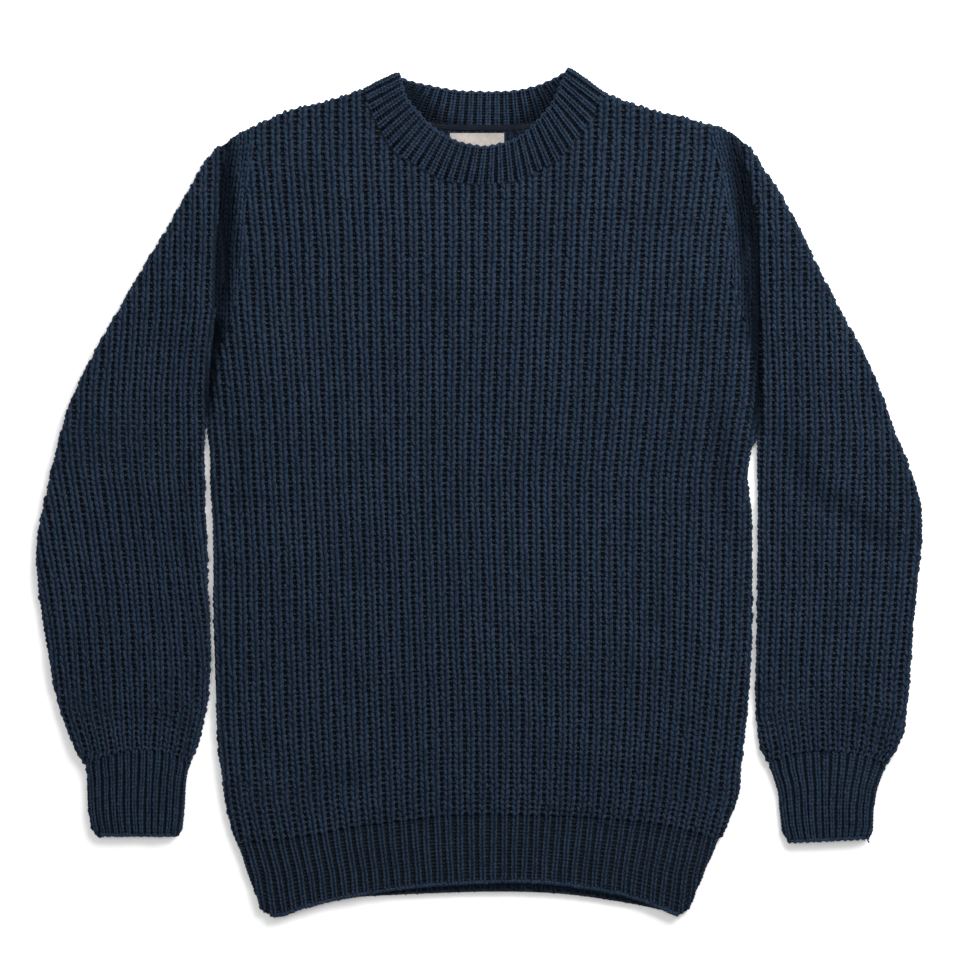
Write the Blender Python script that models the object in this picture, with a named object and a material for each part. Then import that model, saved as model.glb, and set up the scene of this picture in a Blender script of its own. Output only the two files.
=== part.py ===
"""Crew-neck rib sweater, laid flat on its back.

The model is in metres, +Z up, with its underside at z = 0 and the origin below the
middle of its plan box.  Sizes below are in millimetres and are turned into metres
where the meshes are made.  X runs across the sweater, Y from the hem to the neck.
Left and right are as the viewer sees them.
"""
import math
from typing import NamedTuple

import bmesh
import bpy
import numpy as np
from mathutils import Vector
from mathutils.geometry import delaunay_2d_cdt

MM = 0.001


class Spot(NamedTuple):
    """A place in plan."""
    x: float
    y: float


class SideRow(NamedTuple):
    """Where the two side folds of the body are at one height."""
    y: float
    left: float
    right: float


class RibRow(NamedTuple):
    """Where the middle groove is at one height, and the rib widths beside it."""
    y: float
    middle: float
    left_pitch: float
    right_pitch: float


# Wall heights above the surface
BACK_TOP = 4.4
FRONT_UNDERSIDE = 4.7
BODY_WALL = 3.2
BODY_RELIEF = 1.7
HEM_WALL = 2.8
HEM_RELIEF = 1.4
SLEEVE_TOP = 8.2
SLEEVE_RELIEF = 1.7
CUFF_TOP = 7.6
CUFF_RELIEF = 1.3

# Edges
FOLD_RADIUS = 4.6
FOLD_LIP = 0.8
SEAM_CHAMFER = 1.6
SEAM_DROP = 1.1
SEAM_GAP = 0.4
NECK_GAP = 0.5

# The front stands a little clear of the back between its seams
FRONT_LOFT = 2.4
LOFT_REACH = 42.0
LOFT_SHARES = (0.3, 0.8)
LOFT_THINNING = 3

# The slit between the two layers of a sleeve or cuff
SLIT_BOTTOM = 4.7
SLIT_TOP = 5.3
SLIT_SIDE = 5.2
SLIT_OVERRUN = 3.0

# Where a rib's crest starts and ends, as a share of its width
CREST_START = 0.27
CREST_END = 0.73
RIB_LINES = (0.0, CREST_START, CREST_END)
FINE_RIB_LINES = (0.0, 0.5)
RIB_MARGIN = 2.6
RIB_STATION = 84.0
CUFF_STATION = 30.0
CUFF_RIBS = 13.5
OUTLINE_STEP = 14.0
NECK_STEP = 7.0
SLIVER_AREA = 0.0001
SHARP_TURN = 0.35
LINE_STEP = 3.0
SHORTEST_LINE = 4.0
STATION_CLEARANCE = 9.0

# Body ribs are counted from the left, and the middle groove is this one
MIDDLE_GROOVE = 23
BODY_RIBS = 47
SLEEVE_RIBS = 17
LEFT_SLEEVE_GROOVE = 8
RIGHT_SLEEVE_GROOVE = 6

BODY_SIDES = [
    SideRow(y=36.4, left=-243.6, right=247.0),
    SideRow(y=9.1, left=-243.0, right=244.0),
    SideRow(y=-36.4, left=-241.2, right=247.5),
    SideRow(y=-91.0, left=-241.2, right=247.5),
    SideRow(y=-145.6, left=-240.2, right=246.6),
    SideRow(y=-200.2, left=-238.4, right=243.0),
    SideRow(y=-236.6, left=-236.6, right=239.3),
    SideRow(y=-273.0, left=-231.1, right=235.7),
    SideRow(y=-298.0, left=-226.4, right=227.6),
]
HEM_SIDES = [
    SideRow(y=-332.0, left=-214.4, right=210.6),
    SideRow(y=-345.8, left=-210.2, right=204.8),
    SideRow(y=-364.0, left=-203.8, right=197.5),
]
HEM_SEAM = [
    Spot(-219.3, -320.3), Spot(-167.4, -315.4), Spot(-111.0, -305.8),
    Spot(-70.1, -300.3), Spot(-17.3, -294.8), Spot(66.4, -295.8),
    Spot(150.2, -301.2), Spot(188.4, -308.5), Spot(217.5, -317.6),
]
HEM_BACK_EDGE = [
    Spot(-198.4, -381.0), Spot(-192.0, -385.2), Spot(-181.1, -385.8),
    Spot(-162.9, -379.5), Spot(-126.5, -371.3), Spot(-71.9, -367.6),
    Spot(10.0, -364.9), Spot(73.7, -366.7), Spot(128.3, -374.0),
    Spot(164.7, -381.3), Spot(182.0, -385.8), Spot(190.2, -381.0),
]
HEM_FRONT_EDGE = [
    Spot(-198.4, -380.0), Spot(-190.0, -384.4), Spot(-180.0, -384.8),
    Spot(-157.0, -376.8), Spot(-121.9, -368.6), Spot(-71.9, -360.4),
    Spot(-17.3, -355.8), Spot(51.9, -354.4), Spot(116.5, -363.1),
    Spot(150.2, -372.2), Spot(181.0, -384.8), Spot(190.2, -380.0),
]

LEFT_UNDERARM = Spot(-247.5, 63.7)
RIGHT_UNDERARM = Spot(252.5, 49.1)
LEFT_SHOULDER = [
    Spot(-126.5, 356.7), Spot(-144.7, 351.3), Spot(-162.9, 347.6),
    Spot(-181.1, 341.3), Spot(-199.3, 332.2), Spot(-217.5, 324.0),
    Spot(-228.4, 315.8),
]
RIGHT_SHOULDER = [
    Spot(128.3, 354.9), Spot(146.5, 348.5), Spot(164.7, 342.9),
    Spot(182.9, 339.6), Spot(201.1, 334.0), Spot(219.3, 329.4),
    Spot(234.8, 320.3),
]
LEFT_ARMHOLE = [
    Spot(-233.9, 273.0), Spot(-238.4, 223.9), Spot(-239.3, 172.9),
    Spot(-240.0, 141.1), Spot(-243.0, 100.1), LEFT_UNDERARM,
]
RIGHT_ARMHOLE = [
    Spot(244.8, 282.1), Spot(250.3, 248.0), Spot(253.0, 209.3),
    Spot(253.6, 160.0), Spot(253.9, 112.8), Spot(253.2, 81.9), RIGHT_UNDERARM,
]

# The neckband: its seam and its open edge, on the front and on the back
FRONT_NECK_SEAM = [
    Spot(-101.0, 352.2), Spot(-92.4, 333.1), Spot(-83.7, 317.6),
    Spot(-75.5, 306.7), Spot(-65.5, 300.3), Spot(-50.1, 291.2),
    Spot(-34.6, 283.0), Spot(-17.3, 279.4), Spot(1.8, 277.6),
    Spot(20.5, 279.4), Spot(39.1, 283.0), Spot(54.6, 291.2),
    Spot(71.0, 300.3), Spot(82.8, 313.0), Spot(92.8, 325.8),
    Spot(101.9, 339.4),
]
FRONT_NECK_EDGE = [
    Spot(-65.7, 356.7), Spot(-54.6, 343.1), Spot(-43.7, 331.2),
    Spot(-30.0, 322.1), Spot(-17.3, 315.8), Spot(-4.6, 313.0),
    Spot(8.2, 312.1), Spot(20.5, 314.9), Spot(32.8, 318.5),
    Spot(45.5, 328.5), Spot(56.4, 339.4), Spot(66.0, 352.2),
]
BACK_NECK_SEAM = [
    Spot(-76.4, 345.8), Spot(-50.1, 336.7), Spot(-30.0, 333.1),
    Spot(-1.8, 332.2), Spot(23.7, 332.2), Spot(51.0, 334.9),
    Spot(82.8, 345.8),
]
BACK_NECK_EDGE = [
    Spot(-62.8, 371.6), Spot(-50.1, 368.6), Spot(-35.9, 365.8),
    Spot(-20.0, 363.1), Spot(-1.8, 362.2), Spot(17.3, 362.2),
    Spot(32.8, 363.1), Spot(48.7, 366.3), Spot(61.0, 370.6),
]
LEFT_COLLAR_FOLD = (Spot(-102.8, 365.0), Spot(-72.8, 379.5))
RIGHT_COLLAR_FOLD = (Spot(112.8, 361.3), Spot(81.0, 384.0))
COLLAR_FRONT_RIBS = 43
COLLAR_BACK_RIBS = 30
COLLAR_HALF_WALL = 2.0
COLLAR_RELIEF = 1.2
COLLAR_FRONT_MIDDLE = 8.0
COLLAR_BACK_MIDDLE = 2.0
COLLAR_TURN_STEPS = 6
COLLAR_BULGE = 0.6

LEFT_SLEEVE_OUTER = [
    Spot(-239.3, 309.4), Spot(-253.0, 291.2), Spot(-263.0, 273.0),
    Spot(-283.0, 236.6), Spot(-305.8, 200.2), Spot(-326.7, 163.8),
    Spot(-347.6, 127.4), Spot(-365.8, 91.0), Spot(-378.6, 54.6),
    Spot(-387.7, 18.2), Spot(-395.9, -18.2), Spot(-401.3, -50.1),
    Spot(-399.5, -91.0), Spot(-394.0, -127.4), Spot(-388.6, -163.8),
    Spot(-379.5, -200.2), Spot(-365.8, -236.6), Spot(-357.5, -250.0),
]
LEFT_SLEEVE_INNER = [
    Spot(-262.5, -247.0), Spot(-256.6, -234.0), Spot(-248.4, -200.2),
    Spot(-244.8, -163.8), Spot(-244.8, -127.4), Spot(-246.6, -91.0),
    Spot(-248.4, -36.4), Spot(-250.3, 36.4),
]
RIGHT_SLEEVE_OUTER = [
    Spot(370.0, -250.0), Spot(377.7, -236.6), Spot(384.9, -223.0),
    Spot(389.5, -191.1), Spot(392.2, -154.7), Spot(394.9, -118.3),
    Spot(398.6, -81.9), Spot(402.2, -45.5), Spot(401.3, -18.2),
    Spot(391.3, 18.2), Spot(376.7, 54.6), Spot(364.0, 91.0),
    Spot(347.6, 127.4), Spot(327.6, 163.8), Spot(308.5, 200.2),
    Spot(291.2, 236.6), Spot(271.2, 273.0), Spot(258.4, 291.2),
    Spot(247.5, 309.4),
]
RIGHT_SLEEVE_INNER = [
    Spot(254.0, 30.0), Spot(253.9, -9.1), Spot(253.0, -100.1),
    Spot(252.1, -154.7), Spot(253.0, -209.3), Spot(256.0, -234.0),
    Spot(263.0, -248.0),
]
LEFT_CUFF_SEAM = [
    Spot(-357.5, -250.0), Spot(-335.0, -240.0), Spot(-311.0, -236.0),
    Spot(-286.0, -238.4), Spot(-262.5, -247.0),
]
RIGHT_CUFF_SEAM = [
    Spot(263.0, -248.0), Spot(289.0, -239.0), Spot(317.0, -236.6),
    Spot(345.0, -240.4), Spot(370.0, -250.0),
]
LEFT_CUFF_OUTER = [
    Spot(-355.4, -258.0), Spot(-354.9, -273.0), Spot(-354.4, -291.2),
    Spot(-351.3, -308.0), Spot(-346.0, -314.6),
]
LEFT_CUFF_INNER = [
    Spot(-274.6, -314.9), Spot(-270.3, -308.0), Spot(-268.5, -291.2),
    Spot(-267.5, -273.0), Spot(-265.9, -257.0),
]
RIGHT_CUFF_INNER = [
    Spot(267.4, -258.0), Spot(272.1, -273.0), Spot(273.9, -291.2),
    Spot(276.0, -309.4), Spot(281.4, -320.6),
]
RIGHT_CUFF_OUTER = [
    Spot(352.6, -317.0), Spot(357.0, -311.4), Spot(357.6, -291.2),
    Spot(360.4, -273.0), Spot(366.2, -256.0),
]

BODY_RIB_ROWS = [
    RibRow(y=-384.0, middle=17.8, left_pitch=9.5, right_pitch=8.9),
    RibRow(y=-347.6, middle=17.8, left_pitch=9.76, right_pitch=9.15),
    RibRow(y=-323.1, middle=18.0, left_pitch=10.09, right_pitch=9.46),
    RibRow(y=-282.1, middle=18.8, left_pitch=10.51, right_pitch=9.95),
    RibRow(y=-209.3, middle=18.9, left_pitch=10.75, right_pitch=10.30),
    RibRow(y=-136.5, middle=16.1, left_pitch=10.71, right_pitch=10.71),
    RibRow(y=-63.7, middle=13.7, left_pitch=10.66, right_pitch=10.92),
    RibRow(y=9.1, middle=11.8, left_pitch=10.78, right_pitch=11.11),
    RibRow(y=81.9, middle=13.8, left_pitch=11.10, right_pitch=11.57),
    RibRow(y=154.7, middle=16.2, left_pitch=11.58, right_pitch=11.68),
    RibRow(y=227.5, middle=17.6, left_pitch=11.86, right_pitch=11.89),
    RibRow(y=300.3, middle=18.2, left_pitch=12.30, right_pitch=12.40),
    RibRow(y=373.1, middle=18.7, left_pitch=12.40, right_pitch=12.60),
]
LEFT_SLEEVE_RIB_ROWS = [
    RibRow(y=-262.0, middle=-311.0, left_pitch=6.9, right_pitch=6.9),
    RibRow(y=-236.6, middle=-303.1, left_pitch=7.6, right_pitch=7.8),
    RibRow(y=-200.2, middle=-302.3, left_pitch=9.3, right_pitch=9.2),
    RibRow(y=-163.8, middle=-303.4, left_pitch=9.6, right_pitch=9.6),
    RibRow(y=-127.4, middle=-305.0, left_pitch=9.8, right_pitch=9.4),
    RibRow(y=-91.0, middle=-308.1, left_pitch=10.1, right_pitch=9.1),
    RibRow(y=-54.6, middle=-312.0, left_pitch=10.5, right_pitch=9.1),
    RibRow(y=-18.2, middle=-316.5, left_pitch=10.7, right_pitch=9.3),
    RibRow(y=18.2, middle=-321.5, left_pitch=11.0, right_pitch=9.7),
    RibRow(y=54.6, middle=-323.9, left_pitch=11.1, right_pitch=10.1),
    RibRow(y=91.0, middle=-322.9, left_pitch=11.0, right_pitch=9.8),
    RibRow(y=127.4, middle=-320.3, left_pitch=10.6, right_pitch=9.8),
    RibRow(y=163.8, middle=-318.1, left_pitch=10.7, right_pitch=10.1),
    RibRow(y=236.6, middle=-316.7, left_pitch=10.7, right_pitch=10.2),
    RibRow(y=316.0, middle=-316.0, left_pitch=10.7, right_pitch=10.2),
]
RIGHT_SLEEVE_RIB_ROWS = [
    RibRow(y=-262.0, middle=305.0, left_pitch=6.9, right_pitch=6.9),
    RibRow(y=-236.6, middle=312.1, left_pitch=8.5, right_pitch=8.5),
    RibRow(y=-200.2, middle=310.4, left_pitch=9.6, right_pitch=10.0),
    RibRow(y=-163.8, middle=311.0, left_pitch=9.6, right_pitch=10.2),
    RibRow(y=-91.0, middle=314.7, left_pitch=9.8, right_pitch=10.6),
    RibRow(y=-54.6, middle=315.1, left_pitch=9.9, right_pitch=11.0),
    RibRow(y=-18.2, middle=315.9, left_pitch=10.1, right_pitch=11.1),
    RibRow(y=18.2, middle=319.3, left_pitch=10.7, right_pitch=10.4),
    RibRow(y=54.6, middle=320.5, left_pitch=10.6, right_pitch=9.9),
    RibRow(y=91.0, middle=318.3, left_pitch=10.2, right_pitch=9.6),
    RibRow(y=163.8, middle=315.9, left_pitch=10.2, right_pitch=10.4),
    RibRow(y=316.0, middle=316.7, left_pitch=11.0, right_pitch=10.8),
]

# The tape lies below the back neck seam and the label below the tape
TAPE_BELOW_SEAM = 1.0
TAPE_WIDTH = 6.0
TAPE_THICKNESS = 0.9
TAPE_ENDS = (-84.0, 92.0)
LABEL_WIDTH = 49.2
LABEL_HEIGHT = 23.0
LABEL_THICKNESS = 0.8
LABEL_MIDDLE = Spot(-1.8, 312.7)
LABEL_EDGE = 0.2
CLOTH_GAP = 0.3

WOOL = (0.0125, 0.0203, 0.0343)
TAPE_CLOTH = (0.0144, 0.0176, 0.0273)
LABEL_CLOTH = (0.491, 0.451, 0.413)


# Shapes in plan

def curve(points, step):
    """Points about one step apart on a smooth curve through the given points."""
    nodes = np.array([tuple(point) for point in points], dtype=float)
    ends = np.vstack((2 * nodes[0] - nodes[1], nodes, 2 * nodes[-1] - nodes[-2]))
    run = []
    for i in range(1, len(ends) - 2):
        before, start, end, after = ends[i - 1:i + 3]
        parts = max(1, round(float(np.linalg.norm(end - start)) / step))
        for part in range(parts):
            t = part / parts
            bend = 2 * before - 5 * start + 4 * end - after
            twist = 3 * start - before - 3 * end + after
            run.append(start + 0.5 * ((end - before) * t + bend * t ** 2 + twist * t ** 3))
    run.append(nodes[-1])
    return np.array(run)


class Outline:
    """A closed outline in plan, run counterclockwise, made of folds and seams."""

    def __init__(self, *edges):
        points = []
        folds = []
        for kind, run in edges:
            for point in run[:-1]:
                points.append(point)
                folds.append(kind == "fold")
        self.points = np.array(points)
        self.folds = np.array(folds)
        self.ends = np.roll(self.points, -1, axis=0)

    def distance(self, places, chosen=None):
        """How far each place is from the nearest edge, or from the nearest chosen one."""
        if chosen is None:
            chosen = np.ones(len(self.folds), bool)
        if not chosen.any():
            return np.full(len(places), np.inf)
        start = self.points[chosen]
        along = self.ends[chosen] - start
        offset = places[:, None, :] - start[None, :, :]
        share = (offset * along).sum(axis=2) / (along ** 2).sum(axis=1)
        nearest = np.clip(share, 0.0, 1.0)[:, :, None] * along
        return np.linalg.norm(offset - nearest, axis=2).min(axis=1)

    def holds(self, places):
        """Which places are inside."""
        x, y = places[:, 0, None], places[:, 1, None]
        x0, y0 = self.points.T
        x1, y1 = self.ends.T
        straddles = (y0 > y) != (y1 > y)
        rise = np.where(straddles, y1 - y0, 1.0)
        crossing = x0 + (y - y0) * (x1 - x0) / rise
        return (straddles & (x < crossing)).sum(axis=1) % 2 == 1

    def moved(self, fold_by, seam_by):
        """The outline with each fold and seam moved outward by its own amount."""
        along = self.ends - self.points
        along /= np.linalg.norm(along, axis=1)[:, None]
        outward = np.column_stack((along[:, 1], -along[:, 0]))
        shift = np.where(self.folds, fold_by, seam_by)[:, None] * outward
        result = []
        for i, point in enumerate(self.points):
            turn = along[i - 1][0] * along[i][1] - along[i - 1][1] * along[i][0]
            if abs(turn) > SHARP_TURN:
                gap = shift[i] - shift[i - 1]
                reach = (gap[0] * along[i][1] - gap[1] * along[i][0]) / turn
                result.append(point + shift[i - 1] + reach * along[i - 1])
            elif self.folds[i] == self.folds[i - 1] or fold_by == seam_by:
                result.append(point + 0.5 * (shift[i - 1] + shift[i]))
            else:
                result.append(point + shift[i - 1])
                result.append(point + shift[i])
        return np.array(result)


# Ribs

class Ribs:
    """The ribs of one piece of knitting: where their grooves run in plan."""

    def __init__(self, rows, middle_groove):
        table = np.array([tuple(row) for row in sorted(rows)])
        self.heights, self.middles, self.left, self.right = table.T
        self.middle_groove = middle_groove

    def place(self, number, y):
        """The X of a groove, or of a share of a rib, at each height."""
        middle = np.interp(y, self.heights, self.middles)
        steps = number - self.middle_groove
        rows = self.left if steps < 0 else self.right
        return middle + steps * np.interp(y, self.heights, rows)

    def number(self, places):
        """The number of the groove, and the share of a rib, at each place."""
        x, y = places.T
        aside = x - np.interp(y, self.heights, self.middles)
        left = np.interp(y, self.heights, self.left)
        right = np.interp(y, self.heights, self.right)
        return self.middle_groove + aside / np.where(aside < 0, left, right)


class BandRibs:
    """Ribs that share out a band's width evenly between its two sides."""

    def __init__(self, left, right, count):
        left = left[np.argsort(left[:, 1])]
        right = right[np.argsort(right[:, 1])]
        self.left = left
        self.right = right
        self.count = count

    def sides(self, y):
        left = np.interp(y, self.left[:, 1], self.left[:, 0])
        return left, np.interp(y, self.right[:, 1], self.right[:, 0])

    def place(self, number, y):
        left, right = self.sides(y)
        return left + (right - left) * number / self.count

    def number(self, places):
        left, right = self.sides(places[:, 1])
        return self.count * (places[:, 0] - left) / (right - left)


def crest(number):
    """How high a rib stands at a rib number, from 0 in a groove to 1 on a crest."""
    share = number - np.floor(number)
    return np.clip(np.minimum(share, 1.0 - share) / CREST_START, 0.0, 1.0)


def rib_lines(outline, ribs, count, shares, station):
    """Lines along the grooves and crests, cut off just inside the outline."""
    low, high = outline.points[:, 1].min(), outline.points[:, 1].max()
    heights = np.arange(low, high, LINE_STEP)
    stations = np.arange(low, high, station)
    lines = []
    for number in range(count):
        for share in shares:
            across = ribs.place(number + share, heights)
            run = np.column_stack((across, heights))
            clear = outline.distance(run) > RIB_MARGIN
            inside = np.append(outline.holds(run) & clear, False)
            start = None
            for i, kept in enumerate(inside):
                if kept and start is None:
                    start = i
                if kept or start is None:
                    continue
                bottom, top = heights[start], heights[i - 1]
                start = None
                if top - bottom < SHORTEST_LINE:
                    continue
                between = stations[(stations > bottom + STATION_CLEARANCE)
                                   & (stations < top - STATION_CLEARANCE)]
                ys = np.concatenate(([bottom], between, [top]))
                lines.append(np.column_stack((ribs.place(number + share, ys), ys)))
    return lines


# Solids

def triangles(outline, loops, lines):
    """Plan points and triangles that fill an outline and hold the given lines."""
    points = [Vector(point) for point in outline.points]
    count = len(points)
    edges = [(i, (i + 1) % count) for i in range(count)]
    for run, closed in [(loop, True) for loop in loops] + [(line, False) for line in lines]:
        first = len(points)
        points += [Vector(point) for point in run]
        edges += [(first + i, first + i + 1) for i in range(len(run) - 1)]
        if closed:
            edges.append((first + len(run) - 1, first))
    found, _, faces, origins, _, _ = delaunay_2d_cdt(points, edges, [], 0, 0.01)
    places = np.array([tuple(point) for point in found])
    middles = np.array([places[list(face)].mean(axis=0) for face in faces])
    kept = []
    for face, inside in zip(faces, outline.holds(middles)):
        a, b, c = places[list(face)]
        area = 0.5 * ((b[0] - a[0]) * (c[1] - a[1]) - (b[1] - a[1]) * (c[0] - a[0]))
        if inside and abs(area) > SLIVER_AREA:
            kept.append(list(face) if area > 0 else list(reversed(face)))
    rim = [0] * count
    for index, ids in enumerate(origins):
        for source in ids:
            if source < count:
                rim[source] = index
    used = sorted({index for face in kept for index in face})
    order = {index: place for place, index in enumerate(used)}
    kept = [[order[index] for index in face] for face in kept]
    return places[used], kept, [order[index] for index in rim]


def solid(name, outline, top, bottom, top_lines, inner_loops, material):
    """A closed wall over an outline, with a height for each face from a function.

    The upper face holds the rib lines, and the lower one only the loops given.
    """
    rim_loops = [outline.moved(-SEAM_CHAMFER, -SEAM_CHAMFER)] if top_lines else []
    upper, upper_faces, upper_rim = triangles(outline, rim_loops, top_lines)
    lower, lower_faces, lower_rim = triangles(outline, inner_loops, [])
    mesh = bmesh.new()
    roof = [mesh.verts.new((x * MM, y * MM, z * MM))
            for (x, y), z in zip(upper, top(upper))]
    floor = [mesh.verts.new((x * MM, y * MM, z * MM))
             for (x, y), z in zip(lower, bottom(lower))]
    for face in upper_faces:
        mesh.faces.new([roof[i] for i in face])
    for face in lower_faces:
        mesh.faces.new([floor[i] for i in reversed(face)])
    count = len(outline.points)
    for i in range(count):
        after = (i + 1) % count
        below, above = floor[lower_rim[i]], roof[upper_rim[i]]
        next_below, next_above = floor[lower_rim[after]], roof[upper_rim[after]]
        mesh.faces.new((below, next_below, next_above, above))
    bmesh.ops.triangulate(mesh, faces=[face for face in mesh.faces if len(face.verts) > 3])
    return placed(name, mesh, material)


def placed(name, mesh, material, smooth_below=40.0):
    """An object in the sweater's collection, from a finished mesh."""
    data = bpy.data.meshes.new(name)
    mesh.normal_update()
    mesh.to_mesh(data)
    mesh.free()
    data.shade_smooth()
    data.set_sharp_from_angle(angle=math.radians(smooth_below))
    data.materials.append(material)
    piece = bpy.data.objects.new(name, data)
    SWEATER.objects.link(piece)
    return piece


def fold_share(outline, places):
    """0 on a folded edge, rising to 1 on the flat beyond its round."""
    away = outline.distance(places, outline.folds)
    share = np.clip(away / FOLD_RADIUS, 0.0, 1.0)
    return np.sqrt(1.0 - (1.0 - share) ** 2)


def ribbed_top(outline, ribs, plain, relief, lip):
    """The height of a ribbed face that turns down at folds and seams."""
    def height(places):
        round_share = fold_share(outline, places)
        off_seam = np.clip(outline.distance(places, ~outline.folds) / SEAM_CHAMFER, 0.0, 1.0)
        off_rim = np.clip(outline.distance(places) / SEAM_CHAMFER, 0.0, 1.0)
        full = plain(places) + relief * crest(ribs.number(places)) * off_rim
        return lip + (full - lip) * round_share - SEAM_DROP * (1.0 - off_seam) * round_share
    return height


def level(height):
    """A face at one height."""
    return lambda places: np.full(len(places), height)


def rounded_bottom(outline, lip):
    """A flat underside that turns up at the folds."""
    return lambda places: lip * (1.0 - fold_share(outline, places))


def neck_corners(fold):
    """Where a collar fold's round is centred, at the seam and at the open edge."""
    seam, edge = (np.array(spot) for spot in fold)
    along = (edge - seam) / np.linalg.norm(edge - seam)
    outward = np.array((-along[1], along[0]))
    if outward[1] < 0:
        outward = -outward
    reach = 0.5 * (COLLAR_FRONT_MIDDLE - COLLAR_BACK_MIDDLE) + COLLAR_HALF_WALL
    return seam - reach * outward, edge - reach * outward, outward


def collar_curves():
    """The neckband's seam and open edge in plan, front and back, all left to right."""
    left_seam, left_edge, _ = neck_corners(LEFT_COLLAR_FOLD)
    right_seam, right_edge, _ = neck_corners(RIGHT_COLLAR_FOLD)
    return {
        "front_seam": curve([left_seam, *FRONT_NECK_SEAM, right_seam], NECK_STEP),
        "front_edge": curve([left_edge, *FRONT_NECK_EDGE, right_edge], NECK_STEP),
        "back_seam": curve([left_seam, *BACK_NECK_SEAM, right_seam], NECK_STEP),
        "back_edge": curve([left_edge, *BACK_NECK_EDGE, right_edge], NECK_STEP),
    }


def neck_cut(seam):
    """The body's neck edge, right to left: the collar's seam moved out by the gap."""
    run = np.vstack((LEFT_COLLAR_FOLD[0], seam, RIGHT_COLLAR_FOLD[0]))
    along = np.gradient(run, axis=0)
    along /= np.linalg.norm(along, axis=1)[:, None]
    outward = np.column_stack((along[:, 1], -along[:, 0]))
    return (run + NECK_GAP * outward)[::-1]


def body_outline(neck, hem):
    """The front's or back's outline, from its neck edge and its hem seam."""
    left_corner, right_corner = neck[-1], neck[0]
    left_side = [LEFT_UNDERARM] + [Spot(row.left, row.y) for row in BODY_SIDES] + [hem[0]]
    right_side = [hem[-1]] + [Spot(row.right, row.y) for row in reversed(BODY_SIDES)]
    right_side.append(RIGHT_UNDERARM)
    return Outline(
        ("fold", curve(left_side, OUTLINE_STEP)),
        ("seam", hem),
        ("fold", curve(right_side, OUTLINE_STEP)),
        ("seam", right_armhole()[::-1]),
        ("fold", curve([right_corner, *RIGHT_SHOULDER], OUTLINE_STEP)[::-1]),
        ("seam", neck),
        ("fold", curve([left_corner, *LEFT_SHOULDER], OUTLINE_STEP)),
        ("seam", left_armhole()),
    )


def left_armhole():
    return curve([LEFT_SHOULDER[-1], *LEFT_ARMHOLE], OUTLINE_STEP)


def right_armhole():
    return curve([RIGHT_SHOULDER[-1], *RIGHT_ARMHOLE], OUTLINE_STEP)


def build_body(wool):
    """The front and the back, which share every edge but the neck's."""
    curves = collar_curves()
    hem = curve(HEM_SEAM, OUTLINE_STEP)
    back = body_outline(neck_cut(curves["back_seam"]), hem)
    solid("back_panel", back, level(BACK_TOP), rounded_bottom(back, BACK_TOP - FOLD_LIP),
          [], [back.moved(-FOLD_RADIUS, -FOLD_RADIUS)], wool)

    front = body_outline(neck_cut(curves["front_seam"]), hem)
    ribs = Ribs(BODY_RIB_ROWS, MIDDLE_GROOVE)

    def loft(places):
        share = np.clip(front.distance(places) / LOFT_REACH, 0.0, 1.0)
        return FRONT_UNDERSIDE + FRONT_LOFT * share * share * (3.0 - 2.0 * share)

    def plain(places):
        return loft(places) + BODY_WALL

    top = ribbed_top(front, ribs, plain, BODY_RELIEF, FRONT_UNDERSIDE + FOLD_LIP)
    lines = rib_lines(front, ribs, BODY_RIBS, RIB_LINES, RIB_STATION)
    loft_loops = [front.moved(-share * LOFT_REACH, -share * LOFT_REACH)[::LOFT_THINNING]
                  for share in LOFT_SHARES]
    solid("front_panel", front, top, loft, lines, loft_loops, wool)


def build_hems(wool):
    """The ribbed bands below the front and the back."""
    seam = curve(HEM_SEAM, OUTLINE_STEP) - np.array((0.0, SEAM_GAP))
    ribs = Ribs(BODY_RIB_ROWS, MIDDLE_GROOVE)
    for name, edge in (("hem_back", HEM_BACK_EDGE), ("hem_front", HEM_FRONT_EDGE)):
        left = [seam[0]] + [Spot(row.left, row.y) for row in HEM_SIDES] + [edge[0]]
        right = [edge[-1]] + [Spot(row.right, row.y) for row in reversed(HEM_SIDES)]
        right.append(seam[-1])
        band = Outline(
            ("fold", curve(left, OUTLINE_STEP)),
            ("seam", curve(edge, OUTLINE_STEP)),
            ("fold", curve(right, OUTLINE_STEP)),
            ("seam", seam[::-1]),
        )
        if name == "hem_back":
            inner_loops = [band.moved(-FOLD_RADIUS, -FOLD_RADIUS)]
            solid(name, band, level(BACK_TOP), rounded_bottom(band, BACK_TOP - FOLD_LIP),
                  [], inner_loops, wool)
        else:
            top = ribbed_top(band, ribs, level(FRONT_UNDERSIDE + HEM_WALL), HEM_RELIEF,
                             FRONT_UNDERSIDE + FOLD_LIP)
            lines = rib_lines(band, ribs, BODY_RIBS, FINE_RIB_LINES, CUFF_STATION)
            solid(name, band, top, level(FRONT_UNDERSIDE), lines, [], wool)


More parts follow.
